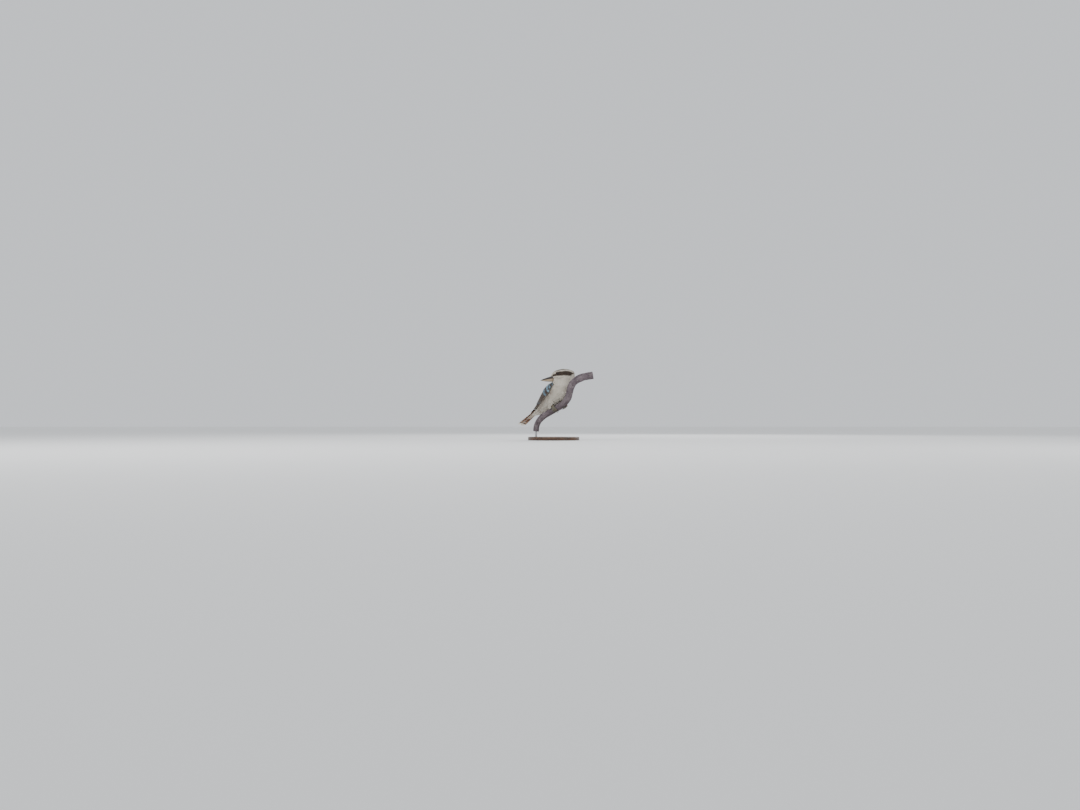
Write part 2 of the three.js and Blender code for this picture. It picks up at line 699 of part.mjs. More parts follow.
const kookaburra = new THREE.Group();
kookaburra.add(
  placed(bodyMatrix, [
    piece("torso", "plumage_white", torso()),
    piece("neck", "plumage_white", neck()),
    piece("wing_left", "wing_brown", wing(SIDES.left)),
    piece("wing_right", "wing_brown", wing(SIDES.right)),
    piece("tail", "tail_barred", tail()),
  ]),
  placed(headMatrix, [
    piece("head", "plumage_white", head()),
    piece("bill_upper", "bill_black", upperBill()),
    piece("bill_lower", "bill_horn", lowerBill()),
    ...eyes,
  ]),
  ...Object.entries(SIDES).flatMap(([name, side]) => [
    piece(`thigh_${name}`, "plumage_white", thigh(name)),
    piece(`foot_${name}`, "foot_skin", foot(name, side)),
  ]),
  piece("perch", "bark", branch()),
  piece("stand_rod", "rod_steel", rod()),
  piece("stand_base", "base_wood", base()),
);

export default kookaburra;
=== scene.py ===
import math

import bpy
import numpy as np
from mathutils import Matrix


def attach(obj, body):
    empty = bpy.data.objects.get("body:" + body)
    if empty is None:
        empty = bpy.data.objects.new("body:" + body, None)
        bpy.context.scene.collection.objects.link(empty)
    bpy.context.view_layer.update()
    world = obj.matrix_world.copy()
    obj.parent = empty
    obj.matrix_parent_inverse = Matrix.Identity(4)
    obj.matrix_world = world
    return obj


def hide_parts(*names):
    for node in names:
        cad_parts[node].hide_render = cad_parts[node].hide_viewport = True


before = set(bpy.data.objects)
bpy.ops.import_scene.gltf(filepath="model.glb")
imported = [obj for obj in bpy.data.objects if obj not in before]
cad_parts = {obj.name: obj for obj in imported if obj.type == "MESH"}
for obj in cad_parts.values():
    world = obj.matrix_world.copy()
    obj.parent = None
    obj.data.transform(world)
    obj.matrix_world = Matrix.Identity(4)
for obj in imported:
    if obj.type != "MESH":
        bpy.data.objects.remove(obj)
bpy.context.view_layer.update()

# A laughing kookaburra at life size on a cut branch. Shapes are worked out in millimetres, in the frame of
# the torso or of the head, and are put into Blender in metres.
MM = 0.001
RNG = np.random.default_rng(11)
DEGREE = math.pi / 180
SIDES = {"left": 1, "right": -1}

# Sizes that the solids share
BODY_AT = np.array([10.0, -5.0, 187.0])
BODY_YAW, BODY_PITCH = -45, 35
HEAD_FROM_BODY = np.array([26.5, -29.0, 85.0])
HEAD_YAW, HEAD_NOD, HEAD_TILT = 201, 9, 8
TORSO_REAR, TORSO_FRONT = -96, 92
TORSO_ROWS = [
    (-96, 25, 23, 24, 2), (-80, 30.5, 27.5, 30, 3), (-60, 37.5, 32, 35, 4), (-35, 44.5, 38.5, 38.5, 4),
    (-8, 49.5, 43, 42, 4), (20, 50.5, 43.5, 43, 2.5), (45, 46, 41, 42, 1), (66, 38, 37, 35, 0),
    (82, 27, 30, 23, 0), (92, 13, 20, 8, 0),
]
HEAD_REAR, HEAD_FRONT = -52, 49
HEAD_ROWS = [
    (-52, 10, 4.5, 18, 0), (-44, 20, 12, 27, 0), (-29, 28.5, 19.8, 31, 0), (-9, 33.5, 23.6, 31, 0),
    (8, 32.5, 24.2, 30, 0), (22, 28, 23.2, 28.5, 0), (32, 23, 20.6, 27, 0), (39, 19.2, 16.2, 25.5, 0),
    (44, 16.6, 10.6, 24, 0), (49, 14, 3.5, 21.5, 0),
]
NECK_TOP = -12
BILL_LENGTH, BILL_HALF_WIDTH = 52, 13.2
UPPER_BILL_DEPTH, LOWER_BILL_DEPTH, LOWER_BILL_SHARE = 10.5, 11.5, 0.92
MOUTH_HEIGHT = -9
EYE_RADIUS = 7.4
EYE_AT, EYE_TURN, EYE_BOWL, EYE_BOWL_REACH = (27, 19.2, 6), 24, 6.3, 4.9
WING_ROWS = [
    (72, 38, 38, 37, 0), (50, 47, 43, 44, 0.5), (35, 53, 46, 47, 1.5), (12, 56, 50, 48, 2.5),
    (-6, 55, 50, 47, 4), (-29, 51, 47, 44, 4), (-51, 44.5, 41, 40, 5), (-75, 35, 32, 34, 8),
    (-100, 26, 22.5, 26, 12), (-125, 20, 15.5, 18, 14), (-143, 17, 10.5, 10, 14.5), (-165, 14, 9, 8, 15.5),
]
WING_EDGE_ROWS = [
    (-150, 30, 66), (-120, 14, 62), (-74, 5, 61), (-40, 3, 65), (0, 2, 67), (20, 7, 67), (35, 18, 65),
    (50, 29, 62), (62, 36, 56), (70, 40, 50),
]
TAIL_ROOT, TAIL_TIP, TAIL_TOP, TAIL_RISE, TAIL_TWIST, TAIL_STEP = -106, -255, 16.5, 0.085, 0.42, 0.95
TAIL_BASE_ROWS = [
    (-96, 25, 23, 24, 2), (-108, 21.5, 18, 21, 3), (-120, 18, 13.5, 17.5, 5), (-130, 16, 11, 12.5, 7),
    (-145, 14, 8, 8.5, 10.5), (-160, 9, 4, 4.5, 15),
]
BRANCH_ROUTE = [
    (-84, 8, -150), (-82, 8, -130), (-73, 5, -109), (-55, -1, -89), (-37, -7, -77), (-18, -15, -66),
    (2, -27, -54), (24, -44, -40), (41, -60, -25), (51, -70, -9), (56, -77, 10), (61, -82, 30),
    (71, -86, 48), (86, -89, 62), (104, -90, 72), (128, -90, 77), (152, -90, 81),
]
BRANCH_LOWER, BRANCH_UPPER, BARK_DEPTH = 12, 15.5, 0.035
KNOTS = [(0.2, 2.2, 0.16), (0.86, 5.2, 0.2)]
FEET = {
    "right": (0.37, (-16, -26, -16), (-30, -34, -38)),
    "left": (0.475, (14, 18, -24), (2, 14, -50)),
}
TOE_RADIUS = 2.8
TOES = [(1, 1.75, 9, 2.6), (1, 2.05, 3, 0), (1, 1.7, -4, -2.6), (-1, 1.55, -5, -1)]
BASE_RADIUS, BASE_HEIGHT, BASE_BEVEL, ROD_RADIUS, ROD_LENGTH, GAP = 108, 14, 3, 4.5, 22, 0.3


# Number helpers
def mix(a, b, t):
    """The value a share t of the way from a to b."""
    return a + (b - a) * t


def ease(low, high, x):
    """0 below low, 1 above high, and 3t2 - 2t3 between them."""
    t = np.clip((x - low) / (high - low), 0, 1)
    return t * t * (3 - 2 * t)


def hump(x, middle, half):
    """1 at the middle, falling to 0 at half a width away on either side, rounded."""
    return 1 - ease(0, 1, np.abs(x - middle) / half)


def unit(v):
    """Vectors divided by their length."""
    return v / np.maximum(np.linalg.norm(v, axis=-1, keepdims=True), 1e-9)


def cubic(t, a, b, leave, arrive):
    """The cubic from a to b that leaves and arrives with the given slopes, at a share t of the way."""
    return (
        (2 * t**3 - 3 * t**2 + 1) * a + (t**3 - 2 * t**2 + t) * leave
        + (3 * t**2 - 2 * t**3) * b + (t**3 - t**2) * arrive
    )


def through(rows):
    """A smooth line through rows of place and values: a cubic between neighbours, whose slope at each
    row is the slope of the straight line that joins the rows on its two sides."""
    table = np.array(sorted(rows), float)
    place, value = table[:, 0], table[:, 1:]
    before = np.maximum(np.arange(len(place)) - 1, 0)
    after = np.minimum(np.arange(len(place)) + 1, len(place) - 1)
    slope = (value[after] - value[before]) / (place[after] - place[before])[:, None]

    def line(x):
        x = np.clip(np.asarray(x, float), place[0], place[-1])
        i = np.clip(np.searchsorted(place, x, side="right") - 1, 0, len(place) - 2)
        span = (place[i + 1] - place[i])[..., None]
        t = (x - place[i])[..., None] / span
        found = cubic(t, value[i], value[i + 1], span * slope[i], span * slope[i + 1])
        return np.moveaxis(found, -1, 0)

    return line


def turning(axis, degrees):
    """The matrix that turns points by an angle about one axis."""
    c, s = math.cos(degrees * DEGREE), math.sin(degrees * DEGREE)
    a, b = [(1, 2), (2, 0), (0, 1)]["xyz".index(axis)]
    made = np.eye(3)
    made[a, a], made[a, b], made[b, a], made[b, b] = c, -s, s, c
    return made


LATTICE_CELLS = 32
LATTICE = RNG.random((LATTICE_CELLS, LATTICE_CELLS, LATTICE_CELLS))


def grain(p, size):
    """Smooth noise from -1 to 1: random values on a lattice with the given cell size, eased from corner
    to corner."""
    q = np.asarray(p, float) / size
    cell = np.floor(q).astype(int)
    t = q - cell
    t = t * t * (3 - 2 * t)
    total = 0
    for corner in np.ndindex(2, 2, 2):
        weight = np.prod(np.abs(1 - np.array(corner) - t), axis=-1)
        at = np.moveaxis((cell + corner) % LATTICE_CELLS, -1, 0)
        total = total + weight * LATTICE[tuple(at)]
    return 2 * total - 1


BODY_TURN = turning("z", BODY_YAW) @ turning("y", -BODY_PITCH)
HEAD_TURN = turning("z", HEAD_YAW) @ turning("y", HEAD_NOD) @ turning("x", HEAD_TILT)
HEAD_IN_BODY = BODY_TURN.T @ HEAD_TURN
HEAD_AT = BODY_TURN.T @ HEAD_FROM_BODY


def body_to_world(p):
    """Points of the torso's frame in the shared frame."""
    return p @ BODY_TURN.T + BODY_AT


def head_to_body(p):
    """Points of the head's frame in the torso's frame."""
    return np.asarray(p, float) @ HEAD_IN_BODY.T + HEAD_AT


def body_to_head(p):
    """Points of the torso's frame in the head's frame."""
    return (p - HEAD_AT) @ HEAD_IN_BODY


CURVE_STEPS = 60


def curve(points, count):
    """A centripetal Catmull-Rom curve through points: count places evenly spaced along it, their
    directions, and its length. Each stretch is a cubic whose end slopes come from the roots of the
    distances to the neighbours."""
    points = np.array(points, float)
    p = np.vstack([2 * points[0] - points[1], points, 2 * points[-1] - points[-2]])
    step = np.sqrt(np.linalg.norm(np.diff(p, axis=0), axis=1))[:, None]
    before, here, after = step[:-2], step[1:-1], step[2:]
    p0, p1, p2, p3 = p[:-3], p[1:-2], p[2:-1], p[3:]
    leave = ((p1 - p0) / before - (p2 - p0) / (before + here) + (p2 - p1) / here) * here
    arrive = ((p2 - p1) / here - (p3 - p1) / (here + after) + (p3 - p2) / after) * here
    t = np.linspace(0, 1, CURVE_STEPS, endpoint=False).reshape(1, -1, 1)
    dense = cubic(t, *(v[:, None] for v in (p1, p2, leave, arrive)))
    dense = np.vstack([dense.reshape(-1, 3), points[-1]])
    along = np.r_[0, np.cumsum(np.linalg.norm(np.diff(dense, axis=0), axis=1))]
    even = np.linspace(0, along[-1], count)
    places = np.stack([np.interp(even, along, dense[:, k]) for k in range(3)], axis=1)
    return places, unit(np.gradient(places, axis=0)), along[-1]


# Meshes
NO_CAPS = np.zeros((0, 3), int)


def piece(name, points, faces, finish, replaces=(), maps=None, marks=None):
    """One smooth mesh object in metres at the origin. Faces are arrays of corner numbers, three or four
    to a face. Maps are pairs of numbers for each point, marks are four numbers for each point."""
    mesh = bpy.data.meshes.new(name)
    points = np.asarray(points, float).reshape(-1, 3) * MM
    groups = [np.asarray(f, np.int32) for f in faces if len(f)]
    corners = np.concatenate([f.ravel() for f in groups])
    totals = np.concatenate([np.full(len(f), f.shape[1], np.int32) for f in groups])
    mesh.vertices.add(len(points))
    mesh.vertices.foreach_set("co", points.ravel().astype(np.float32))
    mesh.loops.add(len(corners))
    mesh.loops.foreach_set("vertex_index", corners)
    mesh.polygons.add(len(totals))
    mesh.polygons.foreach_set("loop_start", (np.cumsum(totals) - totals).astype(np.int32))
    mesh.polygons.foreach_set("loop_total", totals)
    mesh.update(calc_edges=True)
    mesh.polygons.foreach_set("use_smooth", np.ones(len(totals), bool))
    for key, pair in (maps or {}).items():
        layer = mesh.uv_layers.new(name=key)
        layer.data.foreach_set("uv", np.asarray(pair, np.float32).reshape(-1, 2)[corners].ravel())
    for key, value in (marks or {}).items():
        layer = mesh.attributes.new(key, "FLOAT_COLOR", "POINT")
        layer.data.foreach_set("color", np.asarray(value, np.float32).reshape(-1, 4).ravel())
    mesh.materials.append(finish)
    made = bpy.data.objects.new(name, mesh)
    bpy.context.scene.collection.objects.link(made)
    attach(made, "root")
    if replaces:
        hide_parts(*replaces)
    return made


def grid_faces(rows, columns, wrap=False):
    """The four-cornered faces of a grid of points, closed round its columns where it wraps."""
    i, j = np.meshgrid(np.arange(rows - 1), np.arange(columns if wrap else columns - 1), indexing="ij")
    i, j = i.ravel(), j.ravel()
    k = (j + 1) % columns
    here, below = i * columns, (i + 1) * columns
    return np.stack([here + j, here + k, below + k, below + j], axis=1)


def outward(points, quads, caps=NO_CAPS):
    """The same skin, its faces turned round where they enclose a negative volume."""
    tris = np.vstack([quads[:, :3], quads[:, [0, 2, 3]], caps])
    a, b, c = (points[tris[:, k]] - points.mean(0) for k in range(3))
    if np.einsum("ij,ij->i", a, np.cross(b, c)).sum() < 0:
        return points, quads[:, ::-1], caps[:, ::-1]
    return points, quads, caps


def closed_tube(rings):
    """A closed skin over rings of points, rings by columns by 3, with one point in the middle of each
    end: its points, its four-cornered faces and its end triangles, all facing outwards."""
    count, columns = rings.shape[:2]
    points = np.vstack([rings.reshape(-1, 3), rings[0].mean(0), rings[-1].mean(0)])
    first, last = count * columns, count * columns + 1
    j = np.arange(columns)
    k = (j + 1) % columns
    end = (count - 1) * columns
    caps = np.vstack([
        np.stack([np.full(columns, first), k, j], axis=1),
        np.stack([np.full(columns, last), end + j, end + k], axis=1),
    ])
    return outward(points, grid_faces(count, columns, wrap=True), caps)


def merged(skins):
    """Several closed skins as one: their points, and their faces counted on from one to the next."""
    starts = np.cumsum([0] + [len(points) for points, _, _ in skins])[:-1]
    points = np.vstack([p for p, _, _ in skins])
    quads = np.vstack([q + start for (_, q, _), start in zip(skins, starts)])
    caps = np.vstack([c + start for (_, _, c), start in zip(skins, starts)])
    return points, quads, caps


def tube_marks(first, second, third, ends=((0, 0, 0, 1), (1, 0, 0, 1))):
    """Four numbers for each point of a closed tube: three given by ring and column, a one, and those of
    the two points in the middles of its ends."""
    table = np.stack(np.broadcast_arrays(first, second, third, 1.0), axis=-1)
    return np.vstack([table.reshape(-1, 4), *ends])


def lathe(profile, columns, centre=(0.0, 0.0)):
    """Rings round an upright line, one through each radius and height of the profile."""
    radius, height = (np.array(values, float)[:, None] for values in zip(*profile))
    angle = np.linspace(0, 2 * math.pi, columns, endpoint=False)
    x, y = centre[0] + radius * np.cos(angle), centre[1] + radius * np.sin(angle)
    return np.stack([x, y, height + 0 * angle], axis=-1)


def swept(places, radius, columns, start=(0.3, 0.2, 1)):
    """A tube about a row of places: round each, points at radius(share along, angle) in the plane across
    the path, in a frame that is carried along without twist."""
    tangents = unit(np.gradient(places, axis=0))
    across = []
    normal = np.array(start, float)
    for tangent in tangents:
        normal = normal - tangent * (normal @ tangent)
        normal = normal / np.linalg.norm(normal)
        across.append(normal)
    across = np.array(across)
    over = np.cross(tangents, across)
    angle = np.linspace(0, 2 * math.pi, columns, endpoint=False)
    share = np.linspace(0, 1, len(places))
    reach = radius(share[:, None], angle[None, :])
    reach = np.broadcast_to(reach, (len(places), columns))[..., None]
    ring = np.cos(angle)[None, :, None] * across[:, None] + np.sin(angle)[None, :, None] * over[:, None]
    return places[:, None] + reach * ring


# Shader sockets that do arithmetic
class Wire:
    """A socket of a finish. An expression on it adds the Math nodes that work it out."""

    def __init__(self, finish, socket):
        self.finish, self.socket = finish, socket

    def maths(self, operation, *values):
        return self.finish.node("Math", {"operation": operation}, dict(enumerate(values)))

    def __add__(self, other):
        return self.maths("ADD", self, other)

    def __sub__(self, other):
        return self.maths("SUBTRACT", self, other)

    def __rsub__(self, other):
        return self.maths("SUBTRACT", other, self)

    def __mul__(self, other):
        return self.maths("MULTIPLY", self, other)

    def step(self, low, high):
        """0 below low, 1 above high, eased between."""
        inputs = {"Value": self, "From Min": low, "From Max": high}
        return self.finish.node("MapRange", {"interpolation_type": "SMOOTHSTEP"}, inputs)

    def wave(self, turns=1.0):
        """A sine from 0 to 1 that turns so often for each unit."""
        return self.maths("SINE", self * (2 * math.pi * turns)) * 0.5 + 0.5

    def away(self):
        """The size of the value, without its sign."""
        return self.maths("ABSOLUTE", self)

    __radd__ = __add__
    __rmul__ = __mul__


class Finish:
    """A material that is built up from nodes in code."""

    def __init__(self, name, **constants):
        self.material = bpy.data.materials.new(name)
        self.material.use_nodes = True
        self.tree = self.material.node_tree
        self.shader = self.tree.nodes["Principled BSDF"]
        for key, value in constants.items():
            self.shader.inputs[key.replace("_", " ")].default_value = value

    def node(self, kind, settings=None, inputs=None, output=0):
        """Adds a node: its settings first, then values or wires for its sockets. Gives the wire of one
        output."""
        made = self.tree.nodes.new("ShaderNode" + kind)
        for key, value in (settings or {}).items():
            setattr(made, key, value)
        for key, value in (inputs or {}).items():
            if isinstance(value, Wire):
                self.tree.links.new(value.socket, made.inputs[key])
            else:
                made.inputs[key].default_value = value
        return Wire(self, made.outputs[output])

    def mix(self, share, a, b):
        """Two colours mixed by a share."""
        a, b = (v if isinstance(v, Wire) else (*v, 1) for v in (a, b))
        return self.node("Mix", {"data_type": "RGBA"}, {0: share, 6: a, 7: b}, 2)

    def place(self, scale=(1, 1, 1), turn=(0, 0, 0)):
        """Object coordinates, scaled and turned."""
        spot = self.node("TexCoord", output="Object")
        return self.node("Mapping", {}, {"Vector": spot, "Scale": scale, "Rotation": turn})

    def noise(self, scale, detail=3.0, spot=None, **more):
        """Noise from 0 to 1 on object coordinates in metres, or on the given wire."""
        inputs = {"Vector": spot or self.place(), "Scale": scale, "Detail": detail, **more}
        return self.node("TexNoise", {}, inputs)

    def mark(self, name):
        """The three numbers of a mark on the mesh, and its fourth."""
        whole = self.node("Attribute", {"attribute_name": name}, output="Color")
        split = self.node("SeparateColor", {}, {"Color": whole})
        parts = [Wire(self, split.socket.node.outputs[k]) for k in range(3)]
        return [*parts, Wire(self, whole.socket.node.outputs["Alpha"])]

    def chart(self, name):
        """The two numbers of a UV map."""
        whole = self.node("UVMap", {"uv_map": name})
        split = self.node("SeparateXYZ", {}, {"Vector": whole})
        return [Wire(self, split.socket.node.outputs[k]) for k in range(2)]

    def done(self, colour, roughness, height, depth, strength):
        """Links the colour, the roughness and the height of the relief, and gives the material."""
        bump = self.node("Bump", {}, {"Height": height, "Distance": depth, "Strength": strength})
        for key, wire in (("Base Color", colour), ("Roughness", roughness), ("Normal", bump)):
            self.tree.links.new(wire.socket, self.shader.inputs[key])
        return self.material


def shade(code):
    """A colour written as six hexadecimal digits, as linear light."""
    values = [int(code[k : k + 2], 16) / 255 for k in (0, 2, 4)]
    return tuple(v / 12.92 if v <= 0.04045 else ((v + 0.055) / 1.055) ** 2.4 for v in values)


CREAM, WARM_WHITE, STREAK_BROWN = shade("dcd3c1"), shade("eee8dc"), shade("4a382b")
DARK_BROWN, MANTLE_BROWN, SOFT_GREY = shade("2b221d"), shade("4b3b30"), shade("a79c8c")
COVERT_BLUE, RUMP_BLUE = shade("5e8ba9"), shade("608fa6")
RUFOUS, TAIL_BLACK, TAIL_WHITE = shade("7f4b2d"), shade("1d1715"), shade("e6dfd2")


# Finishes
def plumage_finish():
    """Small feathers and the skin under them. The mark holds brown, blue, rufous and bars; the hue mark
    holds each feather's own lightness, how far along it a point is, how far across, and how streaked it
    is."""
    f = Finish("plumage", Specular_IOR_Level=0.22)
    brown, blue, rufous, bars = f.mark("mark")
    own, along, across, streak = f.mark("hue")
    base = f.mix(own, CREAM, WARM_WHITE)
    base = f.mix(f.noise(45, 4).step(0.35, 0.8) * 0.3, base, SOFT_GREY)
    base = f.mix(rufous, base, f.mix(own, RUFOUS, MANTLE_BROWN))
    base = f.mix(brown, base, f.mix(own, DARK_BROWN, MANTLE_BROWN))
    shaft = 1 - (across - 0.5).away().step(0.05, 0.3)
    base = f.mix(streak * shaft * 0.8, base, STREAK_BROWN)
    ripples = (along * 3.2 + (across - 0.5).away() * 0.7).wave().step(0.62, 0.92)
    base = f.mix(bars * ripples * 0.55, base, STREAK_BROWN)
    tip = along.step(0.45, 0.8)
    base = f.mix(blue * tip, base, f.mix(own, COVERT_BLUE, RUMP_BLUE))
    edge = along.step(0.86, 1.0)
    base = f.mix(edge * (1 - brown) * 0.35, base, WARM_WHITE)
    barbs = (across * 3.0 + own * 9.0 + along * 0.7).wave()
    fine = f.noise(1700, 2)
    base = f.mix(barbs * 0.1 + fine * 0.08, base, f.mix(0.5, base, DARK_BROWN))
    rough = 0.66 + f.noise(120, 3) * 0.25
    return f.done(base, rough, barbs * 0.7 + fine * 0.4, 0.00012, 0.35)


def vane_lines(f):
    """What the finishes of long feathers share: centimetres along a feather, the share of its length,
    how far off its shaft, and the fine lines of its barbs and the splits between them."""
    across, along = f.chart("Vane")
    share = f.mark("hue")[0]
    off = (across - 0.5).away()
    barbs = (along * 21.0 - off * 26.0).wave()
    return along, share, off, barbs, f.noise(700, 3).step(0.3, 0.7)


def wing_finish():
    """Wing feathers. The mark holds blue, the share that is pale at the edge, white base and each one's
    lightness; the vane map runs across and along a feather, in widths and centimetres."""
    f = Finish("wing_feathers", Specular_IOR_Level=0.3)
    blue, pale_edge, white_base, own = f.mark("mark")
    _, share, off, barbs, split = vane_lines(f)
    spots = f.noise(140, 4)
    base = f.mix(own, DARK_BROWN, MANTLE_BROWN)
    base = f.mix(spots.step(0.4, 0.75) * 0.35, base, DARK_BROWN)
    patch = (share + (spots - 0.5) * 0.5 - off * 0.3 + own * 0.25).step(0.7, 0.86)
    base = f.mix(blue * patch, base, f.mix(f.noise(300, 3), COVERT_BLUE, shade("8db3c6")))
    base = f.mix(white_base * (1 - share.step(0.25, 0.4)), base, TAIL_WHITE)
    base = f.mix(pale_edge * off.step(0.4, 0.49) * 0.7, base, SOFT_GREY)
    shaft = 1 - off.step(0.006, 0.03)
    base = f.mix(shaft * 0.7, base, TAIL_BLACK)
    base = f.mix(barbs * 0.1 + split * 0.06, base, MANTLE_BROWN)
    rough = 0.46 + barbs * 0.1 + spots * 0.18
    return f.done(base, rough, barbs * 0.5 + split * 0.4 + shaft * 1.2, 0.00012, 0.4)


def tail_finish():
    """Tail feathers: rufous with black bars that wander a little, and white tips and outer edges."""
    f = Finish("tail_feathers", Specular_IOR_Level=0.3)
    outer, white, under, own = f.mark("mark")
    along, share, off, barbs, split = vane_lines(f)
    wander = (f.noise(70, 2) - 0.5) * 0.5
    bars = (along + wander + off * 0.35).wave(0.72).step(0.5, 0.68)
    base = f.mix(own, RUFOUS, shade("6e4029"))
    base = f.mix(f.noise(220, 4) * 0.35, base, shade("96623c"))
    base = f.mix(share.step(0.72, 0.93) * white * 0.7, base, shade("c9b29a"))
    base = f.mix(bars * 0.92, base, TAIL_BLACK)
    tips = share.step(0.925, 0.95)
    base = f.mix(tips * white, base, TAIL_WHITE)
    base = f.mix(off.step(0.36, 0.5) * outer * share.step(0.3, 0.8) * 0.6, base, TAIL_WHITE)
    base = f.mix(under * 0.55, base, CREAM)
    shaft = 1 - off.step(0.008, 0.032)
    base = f.mix(shaft * 0.75, base, TAIL_BLACK)
    base = f.mix(barbs * 0.1 + split * 0.08, base, shade("40291d"))
    rough = 0.48 + barbs * 0.1 + f.noise(160, 3) * 0.2
    return f.done(base, rough, barbs * 0.5 + split * 0.4 + shaft * 1.2, 0.00012, 0.4)


def horn_finish(name, body, base_tone, tip_tone, wear, edge_share=0.0):
    """The horn of a bill or claw: a tone that runs from its root to its tip, long fine streaks, worn places,
    a share of the root's tone along the mouth's edge, and painted shade, near black, in the hollow of the
    nostril. The mark holds the share along it, the share away from the mouth, and the hollow of the nostril."""
    f = Finish(name, Specular_IOR_Level=0.4, Coat_Weight=0.12, Coat_Roughness=0.25)
    along, around, hollow, _ = f.mark("mark")
    spot = f.place(scale=(160, 160, 620), turn=(0, 0, -21 * DEGREE))
    streaks = f.noise(1.0, 4.0, spot)
    base = f.mix(along.step(0.55, 1.0), body, tip_tone)
    base = f.mix((1 - along.step(0.0, 0.22)) * 0.8, base, base_tone)
    base = f.mix(streaks.step(0.35, 0.75) * 0.4, base, wear)
    base = f.mix((1 - around.step(0.0, 0.32)) * edge_share, base, base_tone)
    # painted shade: the nostril's hollow is coloured near black
    base = f.mix(hollow, base, (0.004, 0.0035, 0.003))
    rough = 0.34 + streaks * 0.22 + f.noise(420, 2) * 0.1
    return f.done(base, rough, streaks * 0.7 + f.noise(900, 3) * 0.3, 0.0003, 0.35)


def eye_finish():
    """A wet eye: black pupil, dark brown iris with fine rays, a black rim. The mark holds the share out
    from the pupil's middle."""
    f = Finish("eye", Specular_IOR_Level=0.15, Coat_Weight=0.35, Coat_Roughness=0.02)
    out = f.mark("mark")[0]
    rays = f.noise(900, 3)
    iris = f.mix(rays, shade("2a170e"), shade("4d2e1b"))
    colour = f.mix(out.step(0.17, 0.2), (0.002, 0.002, 0.002), iris)
    colour = f.mix(out.step(0.33, 0.4), colour, (0.006, 0.004, 0.003))
    return f.done(colour, 0.04 + rays * 0.04, rays, 0.00002, 0.1)


def bare_finish(name, tone, dark, size, relief=0.0004):
    """Bare skin: small plates with dark seams between them, uneven in tone."""
    f = Finish(name, Specular_IOR_Level=0.35, Subsurface_Weight=0.05)
    plates = f.node("TexVoronoi", {"feature": "DISTANCE_TO_EDGE"}, {"Vector": f.place(), "Scale": size})
    seams = plates.step(0.0, 0.12)
    base = f.mix(f.noise(size * 0.2, 3), tone, mix(np.array(tone), np.array(dark), 0.45).tolist())
    base = f.mix(1 - seams, base, dark)
    return f.done(base, 0.5 + f.noise(size * 0.4, 2) * 0.25, seams + f.noise(size * 3, 2) * 0.3, relief, 0.6)


def bark_finish():
    """Weathered bark, grey-brown with a purple cast, furrowed along the branch, with painted shade darkening
    the furrows and knot hollows; the cut ends show pale wood with rings. The mark holds the end's share, the
    share out from the pith, the furrows' depth, which sets that painted shade, and the turn."""
    f = Finish("bark", Specular_IOR_Level=0.2)
    end, out, furrow_shade, _ = f.mark("mark")
    patches = f.noise(38, 5)
    fine = f.noise(520, 5)
    base = f.mix(patches.step(0.3, 0.7), shade("4e444a"), shade("73686c"))
    # painted shade: the furrows and knot hollows are darkened by their depth
    base = f.mix(furrow_shade * 0.8, base, shade("2c2527"))
    base = f.mix(fine.step(0.45, 0.75) * 0.45, base, shade("8a7f81"))
    lichen = (f.noise(85, 5) * 0.7 + f.noise(330, 3) * 0.3).step(0.6, 0.68)
    base = f.mix(lichen * 0.55, base, shade("8f9482"))
    rings = (out * 13.0 + (f.noise(60, 2) - 0.5) * 1.6).wave()
    checks = f.noise(240, 4).step(0.62, 0.7)
    wood = f.mix(rings * 0.6, shade("a5937a"), shade("7f6b54"))
    wood = f.mix(checks * 0.5, wood, shade("4b3423"))
    wood = f.mix(out.step(0.86, 0.93), wood, shade("3f3230"))
    base = f.mix(end, base, wood)
    rough = 0.72 + fine * 0.22
    return f.done(base, rough, fine * 0.7 + patches * 0.5 + rings * end * 0.3, 0.0011, 0.6)


def base_finish():
    """Dark stained wood under satin varnish: long grain across the disc, pores, and paler wear at the
    rim."""
    f = Finish("base_wood", Specular_IOR_Level=0.4, Coat_Weight=0.35, Coat_Roughness=0.28)
    spot = f.place(scale=(9, 90, 90))
    warp = f.noise(1.0, 5.0, spot, Distortion=0.6)
    pores = f.noise(1.0, 2.0, f.place(scale=(110, 1500, 1500)))
    base = f.mix(warp.step(0.3, 0.72), shade("2a1a10"), shade("5a3a22"))
    base = f.mix(pores.step(0.58, 0.72) * 0.6, base, shade("170d08"))
    rim = f.mark("mark")[0]
    base = f.mix(rim * f.noise(60, 4).step(0.4, 0.7) * 0.5, base, shade("7a5535"))
    rough = 0.34 + pores * 0.18 + f.noise(25, 3) * 0.12
    return f.done(base, rough, warp * 0.5 - pores.step(0.58, 0.72) * 0.6, 0.0004, 0.3)


def steel_finish():
    """Drawn steel: fine marks along the rod, faint dulling."""
    f = Finish("rod_steel", Metallic=1.0)
    marks = f.noise(1.0, 3.0, f.place(scale=(900, 900, 14)))
    dull = f.noise(60, 4)
    base = f.mix(dull.step(0.35, 0.75), shade("b4b4b6"), shade("8d8c8c"))
    return f.done(base, 0.22 + marks * 0.16 + dull * 0.14, marks, 0.0001, 0.25)


def floor_finish():
    """A pale matt floor with very faint mottling."""
    f = Finish("studio_floor", Roughness=0.85, Specular_IOR_Level=0.2)
    tone = f.mix(f.noise(1.4, 4) * 0.5, shade("f4f4f3"), shade("ededec"))
    return f.done(tone, 0.8 + f.noise(30, 2) * 0.1, f.noise(180, 3), 0.0003, 0.08)


